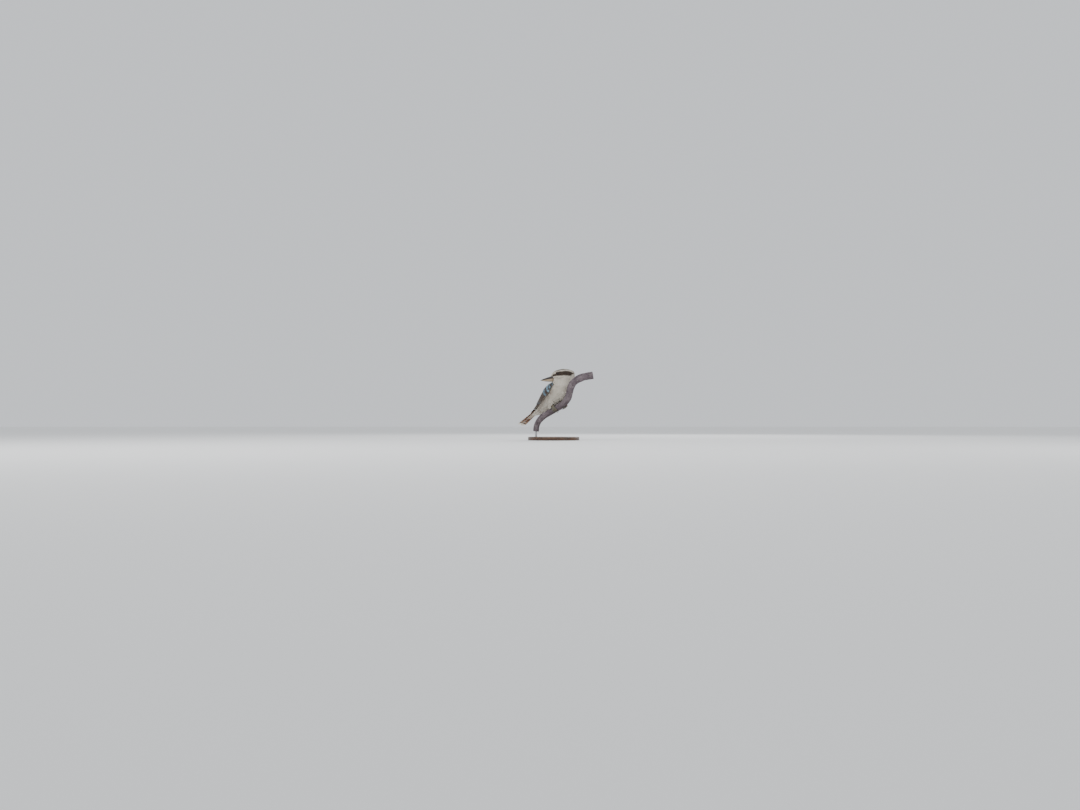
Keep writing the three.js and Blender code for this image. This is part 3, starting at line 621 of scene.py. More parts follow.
PLUMAGE, WING, TAIL = plumage_finish(), wing_finish(), tail_finish()
UPPER_HORN = horn_finish("bill_black", shade("2a2423"), shade("3a302d"), shade("1c1817"), shade("4c433f"))
LOWER_HORN = horn_finish("bill_horn", shade("a5927a"), shade("5d5044"), shade("a8977c"), shade("8b785e"), 0.6)
CLAW_HORN = horn_finish("claw_horn", shade("2a2522"), shade("3a322d"), shade("171412"), shade("4a423b"))
EYE, LID = eye_finish(), bare_finish("lid_skin", shade("3c342f"), shade("15110f"), 2200, 0.0002)
FOOT = bare_finish("foot_skin", shade("746e5e"), shade("4c483d"), 1300)
BARK, BASE, STEEL, FLOOR = bark_finish(), base_finish(), steel_finish(), floor_finish()

# The field whose zero is the surface of the coat, in the torso's frame
torso_line, head_line, tail_base_line = through(TORSO_ROWS), through(HEAD_ROWS), through(TAIL_BASE_ROWS)
wing_line, wing_edge = through(WING_ROWS), through(WING_EDGE_ROWS)


def around_ring(p, side, ring):
    """For points beside an oval ring: their height over its middle, how tall it is on that side, and how
    far they are outside it, as the distance from the axis less the ring's reach that way."""
    wide, up, down, middle = ring
    z = p[..., 2] - middle
    tall = np.where(z > 0, up, down)
    angle = np.arctan2(z, side * p[..., 1])
    reach = 1 / np.hypot(np.cos(angle) / wide, np.sin(angle) / tall)
    return z, tall, np.hypot(p[..., 1], z) - reach


def oval_field(p, line, rear, front, cap):
    """How far points are outside a body of oval rings, rounded off over its ends by a cap's radius."""
    x = np.clip(p[..., 0], rear + cap, front - cap)
    _, _, outside = around_ring(p, 1, line(np.clip(p[..., 0], rear, front)))
    return np.hypot(np.maximum(outside + cap, 0), np.abs(p[..., 0] - x)) - cap


def chain_field(p, places, radii):
    """How far points are outside a chain of tapering rods: to the nearest place on each, less its radius
    there."""
    nearest = np.full(p.shape[:-1], 1e9)
    for a, b, thick, thin in zip(places[:-1], places[1:], radii[:-1], radii[1:]):
        along = b - a
        t = np.clip(((p - a) @ along) / (along @ along), 0, 1)
        off = np.linalg.norm(p - a - t[..., None] * along, axis=-1) - mix(thick, thin, t)
        nearest = np.minimum(nearest, off)
    return nearest


def blend(a, b, width):
    """The smaller of two fields, rounded where they come within a width of each other."""
    near = np.maximum(width - np.abs(a - b), 0) / width
    return np.minimum(a, b) - near * near * width / 4


NECK_PLACES, _, _ = curve([(44, 0, 4), (62, -2, 22), head_to_body((0, 0, NECK_TOP))], 7)
NECK_RADII = through([(0, 36), (0.5, 39), (0.8, 37.5), (1, 33)])(np.linspace(0, 1, 7))[0] - 1.0
THIGH_SHARES, THIGH_RADII = np.array([[0], [0.5], [1.12]]), (14.5, 12.2, 6.6)
THIGHS = {
    name: (mix(np.array(hip), np.array(ankle), THIGH_SHARES), THIGH_RADII)
    for name, (_, hip, ankle) in FEET.items()
}
SHIELD_FRONT, SHIELD_REAR, SHIELD_HEIGHT = 64, -124, -2.4
BROW = (np.array([(41, 10.5, 6), (31, 16.5, 9.5), (14, 20, 10.5)]), (4.5, 6.3, 7.2))
RUMP = (np.array([(-36, 0, 30), (-70, 0, 25), (-100, 0, 18.5), (-122, 0, 14)]), (10, 11, 9.5, 5.5))


def wing_field(p, side, height):
    """A raised shield on each flank: the wing's oval at a height, inside the angles of the wing's two
    edges."""
    ring = wing_line(p[..., 0])
    wide = ring[0]
    z, tall, outside = around_ring(p, side, ring)
    low, high = wing_edge(p[..., 0])
    turned = np.arctan2(z / tall, side * p[..., 1] / wide) / DEGREE
    beside = (np.abs(turned - (low + high) / 2) - (high - low) / 2 + 6) * wide * DEGREE
    ends = np.maximum(p[..., 0] - SHIELD_FRONT, SHIELD_REAR - p[..., 0])
    return np.maximum(np.maximum(outside - height, beside * 0.5), ends * 0.5)


def coat_field(p):
    """The surface that the feather tips reach: torso, tail base, neck, head, brows, thighs and wing
    shields, each blended softly into the rest."""
    h = body_to_head(p)
    field = oval_field(p, torso_line, TORSO_REAR, TORSO_FRONT, 8)
    field = blend(field, oval_field(p, tail_base_line, -160, -96, 4), 10)
    field = blend(field, chain_field(p, *RUMP), 12)
    field = blend(field, chain_field(p, NECK_PLACES, NECK_RADII), 14)
    head = oval_field(h, head_line, HEAD_REAR, HEAD_FRONT, 4)
    brow = chain_field(np.stack([h[..., 0], np.abs(h[..., 1]), h[..., 2]], axis=-1), *BROW)
    head = blend(head, brow, 4)
    field = blend(field, head, 11)
    for places, radii in THIGHS.values():
        field = blend(field, chain_field(p, places, radii), 9)
    for side in SIDES.values():
        field = blend(field, wing_field(p, side, SHIELD_HEIGHT), 3)
    return field


def coat_depth(p):
    """How deep the skin lies under the feather tips: 0.9 mm on the face to 2 mm on the body."""
    return mix(0.9, 2.0, ease(38, 66, np.linalg.norm(p - head_to_body((30, 0, 0)), axis=-1)))


def eye_places():
    """The middle of each eyeball and the way it looks, in the torso's frame."""
    made = []
    for side in SIDES.values():
        forward, sideways = math.sin(EYE_TURN * DEGREE), side * math.cos(EYE_TURN * DEGREE)
        axis = HEAD_IN_BODY @ np.array((forward, sideways, 0.03))
        made.append((head_to_body((EYE_AT[0], side * EYE_AT[1], EYE_AT[2])), unit(axis)))
    return made


def eye_axes(axis):
    """The directions up and level that are square to the way an eye looks."""
    up = unit(np.cross(axis, np.cross(HEAD_IN_BODY[:, 2], axis)))
    return up, np.cross(up, axis)


def skin_field(p):
    """The surface of the skin, the coat's depth inside the coat, with a bowl sunk round the front of
    each eye."""
    field = coat_field(p) + coat_depth(p)
    for middle, axis in eye_places():
        field = np.maximum(field, EYE_BOWL - np.linalg.norm(p - middle - axis * EYE_BOWL_REACH, axis=-1))
    return field


def slope(field, p):
    """The direction out of a surface, from differences of its field over a millimetre."""
    made = np.empty_like(p)
    for k in range(3):
        nudge = np.zeros(3)
        nudge[k] = 0.5
        made[..., k] = field(p + nudge) - field(p - nudge)
    return unit(made)


def drawn_to(field, p, rounds=2):
    """Points moved on to a surface along its slope, by the field's own distance, a few times."""
    for _ in range(rounds):
        p = p - slope(field, p) * field(p)[..., None]
    return p


# The skin: rays from a spine that runs from the tail's root up into the head
SPINE_ROUTE = [(-152, 0, 12), (-110, 0, 4), (-60, 0, 4), (-10, 0, 4), (34, 0, 6), (62, -1, 24), HEAD_AT]
SPINE, _, _ = curve(SPINE_ROUTE, 150)
TAIL_ROWS, SPINE_ROWS, FAN_ROWS, SKIN_COLUMNS = 23, 230, 89, 240
LONGEST_RAY, RAY_STEP, HALVINGS, SMOOTHINGS = 80.0, 2.5, 9, 30


def skin_grid():
    """Places on the skin by row and column. Up to the head a row's rays leave the spine square to it;
    from the head's middle the rows fan over to the crown. Each ray ends where the skin's field first
    turns positive."""
    share = np.linspace(0, 1, SPINE_ROWS)
    at = np.linspace(0, 1, len(SPINE))
    centre = np.stack([np.interp(share, at, SPINE[:, k]) for k in range(3)], axis=1)
    tangent = unit(np.gradient(centre, axis=0))
    for _ in range(SMOOTHINGS):
        tangent[1:-1] = unit(tangent[:-2] + tangent[1:-1] + tangent[2:])
    tail_fan = np.linspace(-86 * DEGREE, 0, TAIL_ROWS + 1)[:-1]
    head_fan = np.linspace(0, 89.5 * DEGREE, FAN_ROWS + 1)[1:]
    order = np.r_[[0] * TAIL_ROWS, np.arange(SPINE_ROWS), [SPINE_ROWS - 1] * FAN_ROWS]
    centre, tangent = centre[order], tangent[order]
    lift = np.r_[tail_fan, np.zeros(SPINE_ROWS), head_fan]
    side = unit(np.cross(np.broadcast_to((0.0, 1.0, 0.0), tangent.shape), tangent))
    other = np.cross(tangent, side)
    angle = np.linspace(0, 2 * math.pi, SKIN_COLUMNS, endpoint=False)
    flat = np.cos(angle)[None, :, None] * side[:, None] + np.sin(angle)[None, :, None] * other[:, None]
    ray = np.cos(lift)[:, None, None] * flat + np.sin(lift)[:, None, None] * tangent[:, None]
    near = np.zeros(ray.shape[:2])
    far = np.full(ray.shape[:2], LONGEST_RAY)
    found = np.zeros(ray.shape[:2], bool)
    for reach in np.arange(2.0, LONGEST_RAY, RAY_STEP):
        outside = skin_field(centre[:, None] + ray * reach) > 0
        far = np.where(outside & ~found, reach, far)
        found |= outside
        near = np.where(found, near, reach)
    for _ in range(HALVINGS):
        middle = (near + far) / 2
        outside = skin_field(centre[:, None] + ray * middle[..., None]) > 0
        far = np.where(outside, middle, far)
        near = np.where(outside, near, middle)
    return centre[:, None] + ray * ((near + far) / 2)[..., None]


skin = skin_grid()
skin_rows = skin.shape[0]


# Where each colour lies
# Half the height of the dark band through the eye, by place along the head
BAND_LINE = through([(-34, 0), (-26, 5), (-14, 10), (-4, 11), (10, 9.5), (27, 8.3), (40, 5.5), (50, 3.5)])


def markings(p, tossed):
    """Brown, blue, rufous, bars and streaks at places of the torso's frame, each from 0 to 1. The head's
    are set in the head's own frame: a dark band through the eye to the ear, and a streaked cap. The
    back's are set by the angle round the torso. Tossed is noise that breaks every border."""
    h = body_to_head(p)
    x, a, z = h[..., 0] + 2.5 * tossed, np.abs(h[..., 1]), h[..., 2] + 1.6 * tossed
    on_head = 1 - ease(30, 46, np.maximum(-h[..., 2], 0) + np.maximum(-h[..., 0] - 26, 0))
    half = BAND_LINE(x)[0]
    middle = mix(0.5, 4.6, ease(-20, 27, x)) - 4.6 * ease(33, 47, x)
    band = 1 - ease(0.7, 1.2, np.abs(z - middle) / np.maximum(half, 0.5))
    band = band * ease(7, 11, a) * (x > -33) * on_head
    cap = ease(13, 19, z) * (1 - ease(17, 26, a)) * ease(-52, -40, h[..., 0])
    cap = cap * (1 - 0.6 * ease(34, 46, h[..., 0])) * on_head
    mottled = 0.5 + 0.5 * grain(p, 1.7)
    chin_line = hump(z, -12.5, 3.5) * hump(x, 24, 14) * 0.45 * on_head
    turned = np.arctan2(p[..., 2] - 4, np.abs(p[..., 1])) / DEGREE + 5 * tossed
    off_head = ease(14, 30, -h[..., 2] + 0 * x)
    back = ease(50, 60, turned) * (1 - ease(44, 60, p[..., 0] + 4 * tossed)) * off_head
    low, high = wing_edge(p[..., 0])
    shield = ease(7, 13, turned - low) * ease(-4, 3, high + 6 - turned) * (1 - ease(56, 66, p[..., 0]))
    shield = shield * ease(-118, -100, p[..., 0]) * (p[..., 2] > -6) * off_head
    rump = ease(52, 66, turned) * (1 - ease(-66, -48, p[..., 0] + 5 * tossed))
    flank = hump(turned, -2, 30) * (1 - ease(20, 56, p[..., 0])) * ease(-120, -96, p[..., 0])
    nape = ease(20, 40, -h[..., 0]) * hump(h[..., 2], 4, 22) * on_head
    brown = np.clip(band * 0.97 + cap * (0.35 + 0.6 * mottled) + chin_line, 0, 1)
    brown = np.clip(brown + 0.22 * nape + back * (1 - rump * 0.7) + shield, 0, 1)
    blue = rump * (0.45 + 0.3 * mottled)
    rufous = np.clip(rump * 0.4 + 0.32 * flank, 0, 1)
    bars = np.clip(flank * 0.55 + rump * 0.5 + 0.12 * ease(-30, -60, p[..., 0]), 0, 1)
    streaks = np.clip(cap + 0.6 * nape + 0.25 * flank + 0.12, 0, 1) * (1 - back) * (1 - shield)
    return brown, blue, rufous, bars, streaks, shield, back


NECK_DOWN = unit(np.array(NECK_PLACES[0] - HEAD_AT))
HEAD_BACK = HEAD_IN_BODY @ np.array((-1.0, 0, 0))
BILL_ROOT = head_to_body((57, 0, -9))


def lie(p):
    """Which way the feathers run: away from the root of the bill over the face, back over the head, down
    the neck, then back along the torso and down each thigh, one turning smoothly into the next."""
    from_bill = p - BILL_ROOT
    on_face = 1 - ease(14, 42, np.linalg.norm(from_bill, axis=-1))[..., None]
    t = (p - HEAD_AT) @ NECK_DOWN
    to_neck, to_body = ease(0, 45, t)[..., None], ease(32, 78, t)[..., None]
    run = (1 - to_neck) * mix(HEAD_BACK, unit(from_bill) * 1.6, on_face)
    run = run + (0.3 * (1 - on_face) + to_neck) * (1 - 0.8 * to_body) * NECK_DOWN
    run = run + to_body * np.array((-1.25, 0, -0.12))
    for places, radii in THIGHS.values():
        near = 1 - ease(-1, 5, chain_field(p, places, radii))[..., None]
        run = mix(run, unit(places[-1] - places[0]), 0.8 * near)
    return run


def laid(run, out):
    """Directions laid flat on a surface whose outward directions are given."""
    return unit(run - out * np.sum(run * out, axis=-1, keepdims=True))


# Length and width of the small feathers by their distance from the root of the bill.
FEATHER_SIZES = through([
    (0, 2.4, 0.42), (16, 3.6, 0.55), (32, 5.4, 0.72), (54, 8.0, 0.95), (80, 11, 1.25), (105, 13, 1.5),
    (135, 14.5, 1.75), (270, 15.5, 1.95),
])
STATIONS = np.array([0, 0.42, 0.84, 1])
LOCK_WIDTHS = np.array([0.5, 1.0, 0.62, 0])
SCALE_WIDTHS = np.array([0.6, 1.0, 0.88, 0])
RISE = np.array([-0.35, 0.5, 0.92, 1.04])
MOST_FEATHERS, TRIED_PLACES, CELL_GROWTH, TUFT_POINTS, BARE_EYE = 12000, 900000, 1.2, 10, 6.1
UNDER_WING_FRONT, UNDER_WING_REAR, COAT_REAR = 26, -112, -150
BILL_BASE_FRONT, BILL_BASE_WIDE, BILL_BASE_UP, BILL_BASE_DOWN = 46.5, 12.8, 10.4, 11.2


def skin_samples(count):
    """Random places on the skin, even by area: a cell of the grid drawn by its area, then a place within
    it. Gives the places and where they lie on the skin's own unwrap."""
    wrapped = np.concatenate([skin, skin[:, :1]], axis=1)
    a, b, c, d = wrapped[:-1, :-1], wrapped[:-1, 1:], wrapped[1:, 1:], wrapped[1:, :-1]
    area = np.linalg.norm(np.cross(c - a, d - b), axis=-1).ravel()
    chosen = RNG.choice(area.size, count, p=area / area.sum())
    i, j = np.divmod(chosen, SKIN_COLUMNS)
    s, t = RNG.random(count), RNG.random(count)
    left = mix(a[i, j], d[i, j], s[:, None])
    right = mix(b[i, j], c[i, j], s[:, None])
    chart = np.stack([(j + t) / SKIN_COLUMNS, (i + s) / (skin_rows - 1)], axis=1)
    return mix(left, right, t[:, None]), chart


def thinned(p, spacing):
    """Keeps one place in each cell of a lattice whose cells are as wide as the spacing, rounded to a
    power of 1.2."""
    level = np.round(np.log(spacing) / math.log(CELL_GROWTH)).astype(int)
    cell = np.floor(p / (CELL_GROWTH ** level)[:, None]).astype(int)
    _, kept = np.unique(np.column_stack([level, cell]), axis=0, return_index=True)
    return np.sort(kept)


def tuft_strips(root, length, width, depth, scaly, sway):
    """Small feathers as closed slivers: each walks over the skin along its lie in three steps, and at
    each place has a left edge, a ridge and a right edge, with widths and heights from the profiles, and
    ends in one point."""
    count = len(root)
    place, heading = root, None
    rings = []
    profile = mix(LOCK_WIDTHS, SCALE_WIDTHS, scaly[:, None])
    for k, share in enumerate(STATIONS):
        out = slope(skin_field, place)
        run = lie(place) + (0 if heading is None else 0.8 * heading)
        run = laid(run, out)
        across = np.cross(out, run)
        if heading is None:
            run = unit(run + across * sway[:, None])
            across = np.cross(out, run)
        centre = place + out * (depth * RISE[k])[:, None]
        half = (width * profile[:, k] / 2)[:, None]
        ridge = centre + out * (0.09 * width * profile[:, k] + 0.05)[:, None]
        if k == 3:
            rings.append(centre[:, None])
            break
        rings.append(np.stack([centre - across * half, ridge, centre + across * half], axis=1))
        heading = run
        place = place + run * (length * (STATIONS[k + 1] - share))[:, None]
        place = drawn_to(skin_field, place, 1)
    points = np.concatenate(rings, axis=1)
    base = (np.arange(count) * TUFT_POINTS)[:, None, None]
    ring = np.array([
        [3 * k + a, 3 * k + b, 3 * k + 3 + b, 3 * k + 3 + a]
        for k in range(2) for a, b in ((0, 1), (1, 2), (2, 0))
    ])
    caps = np.array([[6, 7, 9], [7, 8, 9], [8, 6, 9], [0, 2, 1]])
    along = np.r_[np.repeat(STATIONS[:3], 3), 1.0]
    across = np.r_[np.tile([0, 0.5, 1], 3), 0.5]
    faces = [(base + ring).reshape(-1, 4)[:, ::-1], (base + caps).reshape(-1, 3)[:, ::-1]]
    return points, faces, along, across


def skin_piece():
    """The skin as one closed surface, which carries the coat's markings."""
    points, quads, caps = closed_tube(skin)
    brown, blue, rufous, bars, streaks, _, _ = markings(points, grain(points, 9))
    own = 0.45 + 0.25 * grain(points, 4)
    marks = {
        "mark": np.column_stack([brown, blue * 0.4, rufous, bars * 0.2]),
        "hue": np.column_stack([own, np.full(len(own), 0.5), np.full(len(own), 0.9), streaks * 0.3]),
    }
    u = np.linspace(0, 1, SKIN_COLUMNS, endpoint=False)
    u, v = np.meshgrid(u, np.linspace(0, 1, skin_rows))
    chart = np.column_stack([np.r_[u.ravel(), 0.5, 0.5], np.r_[v.ravel(), 0, 1]])
    replaced = ("head", "neck", "torso", "thigh_left", "thigh_right")
    maps = {"OFBake": chart}
    piece("skin", body_to_world(points), [quads, caps], PLUMAGE, replaced, maps, marks)


def short_of_eyes(root, run, length):
    """The share of its length that each feather may keep so that it ends at the rim of an eye's
    opening."""
    share = np.ones(len(root))
    for middle, axis in eye_places():
        for part in (1.0, 0.8, 0.6, 0.4, 0.2, 0.0):
            off = root + run * (length * part)[:, None] - middle
            out = off @ axis
            inside = (np.linalg.norm(off - out[:, None] * axis, axis=-1) < BARE_EYE) & (out > 0)
            share = np.where(inside, np.minimum(share, part - 0.15), share)
    return share


def plumage():
    """The coat of small feathers. Roots are even by area and closer where the feathers are smaller; none
    grows on an eye, the bill or under the wing's long feathers."""
    root, chart = skin_samples(TRIED_PLACES)
    away = np.linalg.norm(root - BILL_ROOT, axis=-1)
    low, high = wing_edge(root[:, 0])
    turned = np.arctan2(root[:, 2] - 4, np.abs(root[:, 1])) / DEGREE
    clear = (turned <= low + 7) | (turned >= high - 5)
    clear |= (root[:, 0] >= UNDER_WING_FRONT) | (root[:, 0] <= UNDER_WING_REAR)
    clear &= root[:, 0] > COAT_REAR
    h = body_to_head(root)
    tall = np.where(h[:, 2] > MOUTH_HEIGHT, BILL_BASE_UP, BILL_BASE_DOWN)
    inside = np.hypot(h[:, 1] / BILL_BASE_WIDE, (h[:, 2] - MOUTH_HEIGHT) / tall) < 1
    clear &= ~((h[:, 0] > BILL_BASE_FRONT) & inside)
    root, chart, away = root[clear], chart[clear], away[clear]
    length, width = FEATHER_SIZES(away)
    kept = thinned(root, np.clip(0.28 * np.sqrt(length * width) + 0.12, 0.48, 2.0))
    root, chart, away, length, width = (v[kept] for v in (root, chart, away, length, width))
    brown, blue, rufous, bars, streaks, shield, back = markings(root, grain(root, 8))
    scaly = np.clip(np.maximum(shield * 0.8, back * (0.1 + 0.35 * ease(-60, -30, root[:, 0]))), 0, 1)
    thigh = np.minimum(*(chain_field(root, *chain) for chain in THIGHS.values()))
    small = 1 - 0.35 * (1 - ease(-2, 4, thigh)) * (away > 90)
    length = length * small * mix(1, 0.75, scaly) * RNG.uniform(0.8, 1.2, len(root))
    width = width * small * mix(1, 1.9, scaly) * RNG.uniform(0.8, 1.2, len(root))
    for middle, _ in eye_places():
        length = length * (0.5 + 0.5 * ease(6, 16, np.linalg.norm(root - middle, axis=-1)))
    out = slope(skin_field, root)
    run = laid(lie(root), out)
    share = short_of_eyes(root, run, length)
    grown = np.flatnonzero(share > 0)
    length = (length * share)[grown]
    root, chart, away, width, scaly = (v[grown] for v in (root, chart, away, width, scaly))
    marks = np.column_stack([v[grown] for v in (brown, blue, rufous, bars)])
    streaks = streaks[grown]
    depth = coat_depth(root) * RNG.uniform(0.7, 1.25, len(root))
    sway = RNG.normal(0, 0.12, len(root))
    own = np.clip(0.5 + 0.3 * grain(root, 6) + RNG.normal(0, 0.2, len(root)), 0, 1)
    t = (root - HEAD_AT) @ NECK_DOWN
    zones = {
        "feathers_face": (away < 50),
        "feathers_crown": (away >= 50) & (t < 12),
        "feathers_neck": (away >= 50) & (t >= 12) & (t < 48),
        "feathers_back": (away >= 50) & (t >= 48) & (root[:, 2] > 12),
        "feathers_breast": (away >= 50) & (t >= 48) & (root[:, 2] <= 12),
    }
    strips = (root, length, width, depth, scaly, sway)
    for zone, here in zones.items():
        chosen = np.flatnonzero(here)
        chosen = chosen[np.argsort(root[chosen, 0])]
        parts = np.array_split(chosen, math.ceil(len(chosen) / MOST_FEATHERS))
        for number, part in enumerate(parts):
            points, faces, along, across = tuft_strips(*(v[part] for v in strips))
            hue = np.broadcast_arrays(own[part][:, None], along, across, streaks[part][:, None])
            patch = 0.003 * (np.column_stack([across, along]) - 0.5)
            maps = {"OFBake": np.clip(chart[part][:, None] + patch, 0.001, 0.999)}
            layers = {"mark": np.repeat(marks[part][:, None], TUFT_POINTS, 1), "hue": np.stack(hue, axis=-1)}
            points = body_to_world(points.reshape(-1, 3))
            piece(f"{zone}_{number + 1}", points, faces, PLUMAGE, (), maps, layers)


# Long feathers of the wings and the tail
def vane_width(s):
    """The share of its full width that a feather has: widening from its root, level, then rounded off to
    its tip."""
    return np.where(s < 0.35, mix(0.7, 1, s / 0.35), np.sqrt(1 - np.clip((s - 0.62) / 0.385, 0, 1) ** 2.6))


def sheet_faces(rows, columns):
    """The faces of a closed thin sheet of two layers of points, the lower layer first."""
    lower = grid_faces(rows, columns)
    upper = lower[:, ::-1] + rows * columns
    at = np.arange(2 * rows * columns).reshape(2, rows, columns)
    rims = []
    sides = (at[0, :, 0], at[1, :, 0]), (at[1, :, -1], at[0, :, -1])
    ends = (at[1, 0, :], at[0, 0, :]), (at[0, -1, :], at[1, -1, :])
    for low, high in sides + ends:
        rims.append(np.stack([low[:-1], low[1:], high[1:], high[:-1]], axis=1))
    return np.vstack([lower, upper, *rims])


def vane_piece(name, batches, finish, replaces):
    """One piece of many long feathers. A batch holds points (feathers, two layers, stations, columns),
    how far along in centimetres each station lies, and each feather's mark. The vane map runs across
    each and along it."""
    points, quads, chart, marks, hues, bake = [], [], [], [], [], []
    start = cell = 0
    total = sum(len(b[0]) for b in batches)
    across_cells = math.ceil(math.sqrt(total))
    for lattice, centimetres, mark in batches:
        count, _, rows, columns = lattice.shape[:4]
        faces = sheet_faces(rows, columns)
        _, faces, _ = outward(lattice[0].reshape(-1, 3), faces)
        size = 2 * rows * columns
        quads.append((start + np.arange(count)[:, None, None] * size + faces).reshape(-1, 4))
        points.append(lattice.reshape(-1, 3))
        shape = (count, 2, rows, columns)
        u = np.broadcast_to(np.linspace(0, 1, columns), shape)
        v = np.broadcast_to(centimetres[:, None, :, None], shape)
        share = np.broadcast_to((centimetres / centimetres[:, -1:])[:, None, :, None], shape)
        upper = np.broadcast_to(np.array([0.0, 1.0])[None, :, None, None], shape)
        index = cell + np.arange(count)
        row, column = (v[:, None, None, None] for v in np.divmod(index, across_cells))
        bake_u = (column + 0.03 + 0.45 * (u + 1.04 * (1 - upper))) / across_cells
        bake_v = (row + 0.04 + 0.92 * share) / across_cells
        chart.append(np.stack([u, v], axis=-1).reshape(-1, 2))
        bake.append(np.stack([bake_u, bake_v], axis=-1).reshape(-1, 2))
        marks.append(np.broadcast_to(mark[:, None, None, None], (*shape, 4)).reshape(-1, 4))
        hues.append(np.stack([share, u, upper, np.ones(shape)], axis=-1).reshape(-1, 4))
        start += count * size
        cell += count
    maps = {"Vane": np.vstack(chart), "OFBake": np.vstack(bake)}
    layers = {"mark": np.vstack(marks), "hue": np.vstack(hues)}
    points = body_to_world(np.vstack(points))
    made = piece(name, points, [np.vstack(quads)], finish, replaces, maps, layers)
    made.data.set_sharp_from_angle(angle=VANE_CREASE * DEGREE)


VANE_THICKNESS, VANE_GAP, MOST_LIFT, VANE_CREASE = 0.45, 0.12, 1.9, 48
WING_STATIONS, TAIL_STATIONS, TAIL_HALF_WIDTH, TAIL_CLEARANCE = 13, 22, 27, 1.4
# The tiers of a wing, from its long quills up to the shoulder. Each has how many feathers, their width, how
# far the middle ones reach past the line, the roots and tips of its lowest and its highest feather (along the
# body, share of the way over the wing, height), then blue, pale edge and white base.
WING_TIERS = [
    (9, 12.5, 19, ((-4, 0.04, -3.2), (-14, 0.5, -3.2)),
     ((-124, 0.05, -0.9), (-147, 0.86, -0.9)), (0, 0.4, 0.1)),
    (12, 13.5, 12, ((20, 0.04, -2.6), (28, 0.92, -2.6)),
     ((-74, 0.02, 0.1), (-96, 0.99, 0.3)), (0.12, 0.3, 0)),
    (12, 11.5, 3, ((36, 0.04, -2.4), (44, 0.92, -2.4)),
     ((-8, -0.02, 1.3), (-18, 1.02, 1.3)), (0.55, 0.5, 0)),
    (12, 9.5, 2, ((46, 0.04, -2.2), (52, 0.9, -2.2)),
     ((16, -0.03, 1.9), (12, 1.02, 1.9)), (0.95, 0.5, 0)),
    (12, 8.5, 1.5, ((54, 0.06, -2.0), (58, 0.86, -2.0)),
     ((30, -0.04, 2.0), (28, 1.0, 1.6)), (0.8, 0.4, 0)),
    (11, 7.5, 1, ((62, 0.08, -1.8), (63, 0.86, -1.8)),
     ((43, -0.03, 1.2), (42, 1.0, 0.8)), (0.5, 0.3, 0)),
]


def on_wing(side, x, degrees, height):
    """A place of the wing's envelope: along the body, at an angle above the middle of the flank, raised
    by a height."""
    wide, up, down, middle = wing_line(x)
    c, s = np.cos(degrees * DEGREE), np.sin(degrees * DEGREE)
    tall = np.where(s > 0, up, down)
    return np.stack([x, side * (wide + height) * c, middle + (tall + height) * s], axis=-1)


def tail_height(x, y):
    """The height of the tail's upper face: rising with distance behind the rump, arched across, and
    twisted so that its left edge hangs lower towards the tip."""
    along = (TAIL_ROOT - x) / (TAIL_ROOT - TAIL_TIP)
    arch = 0.05 * np.abs(y) + 0.003 * y * y
    return TAIL_TOP + TAIL_RISE * (TORSO_REAR - x) - arch - TAIL_TWIST * along * y


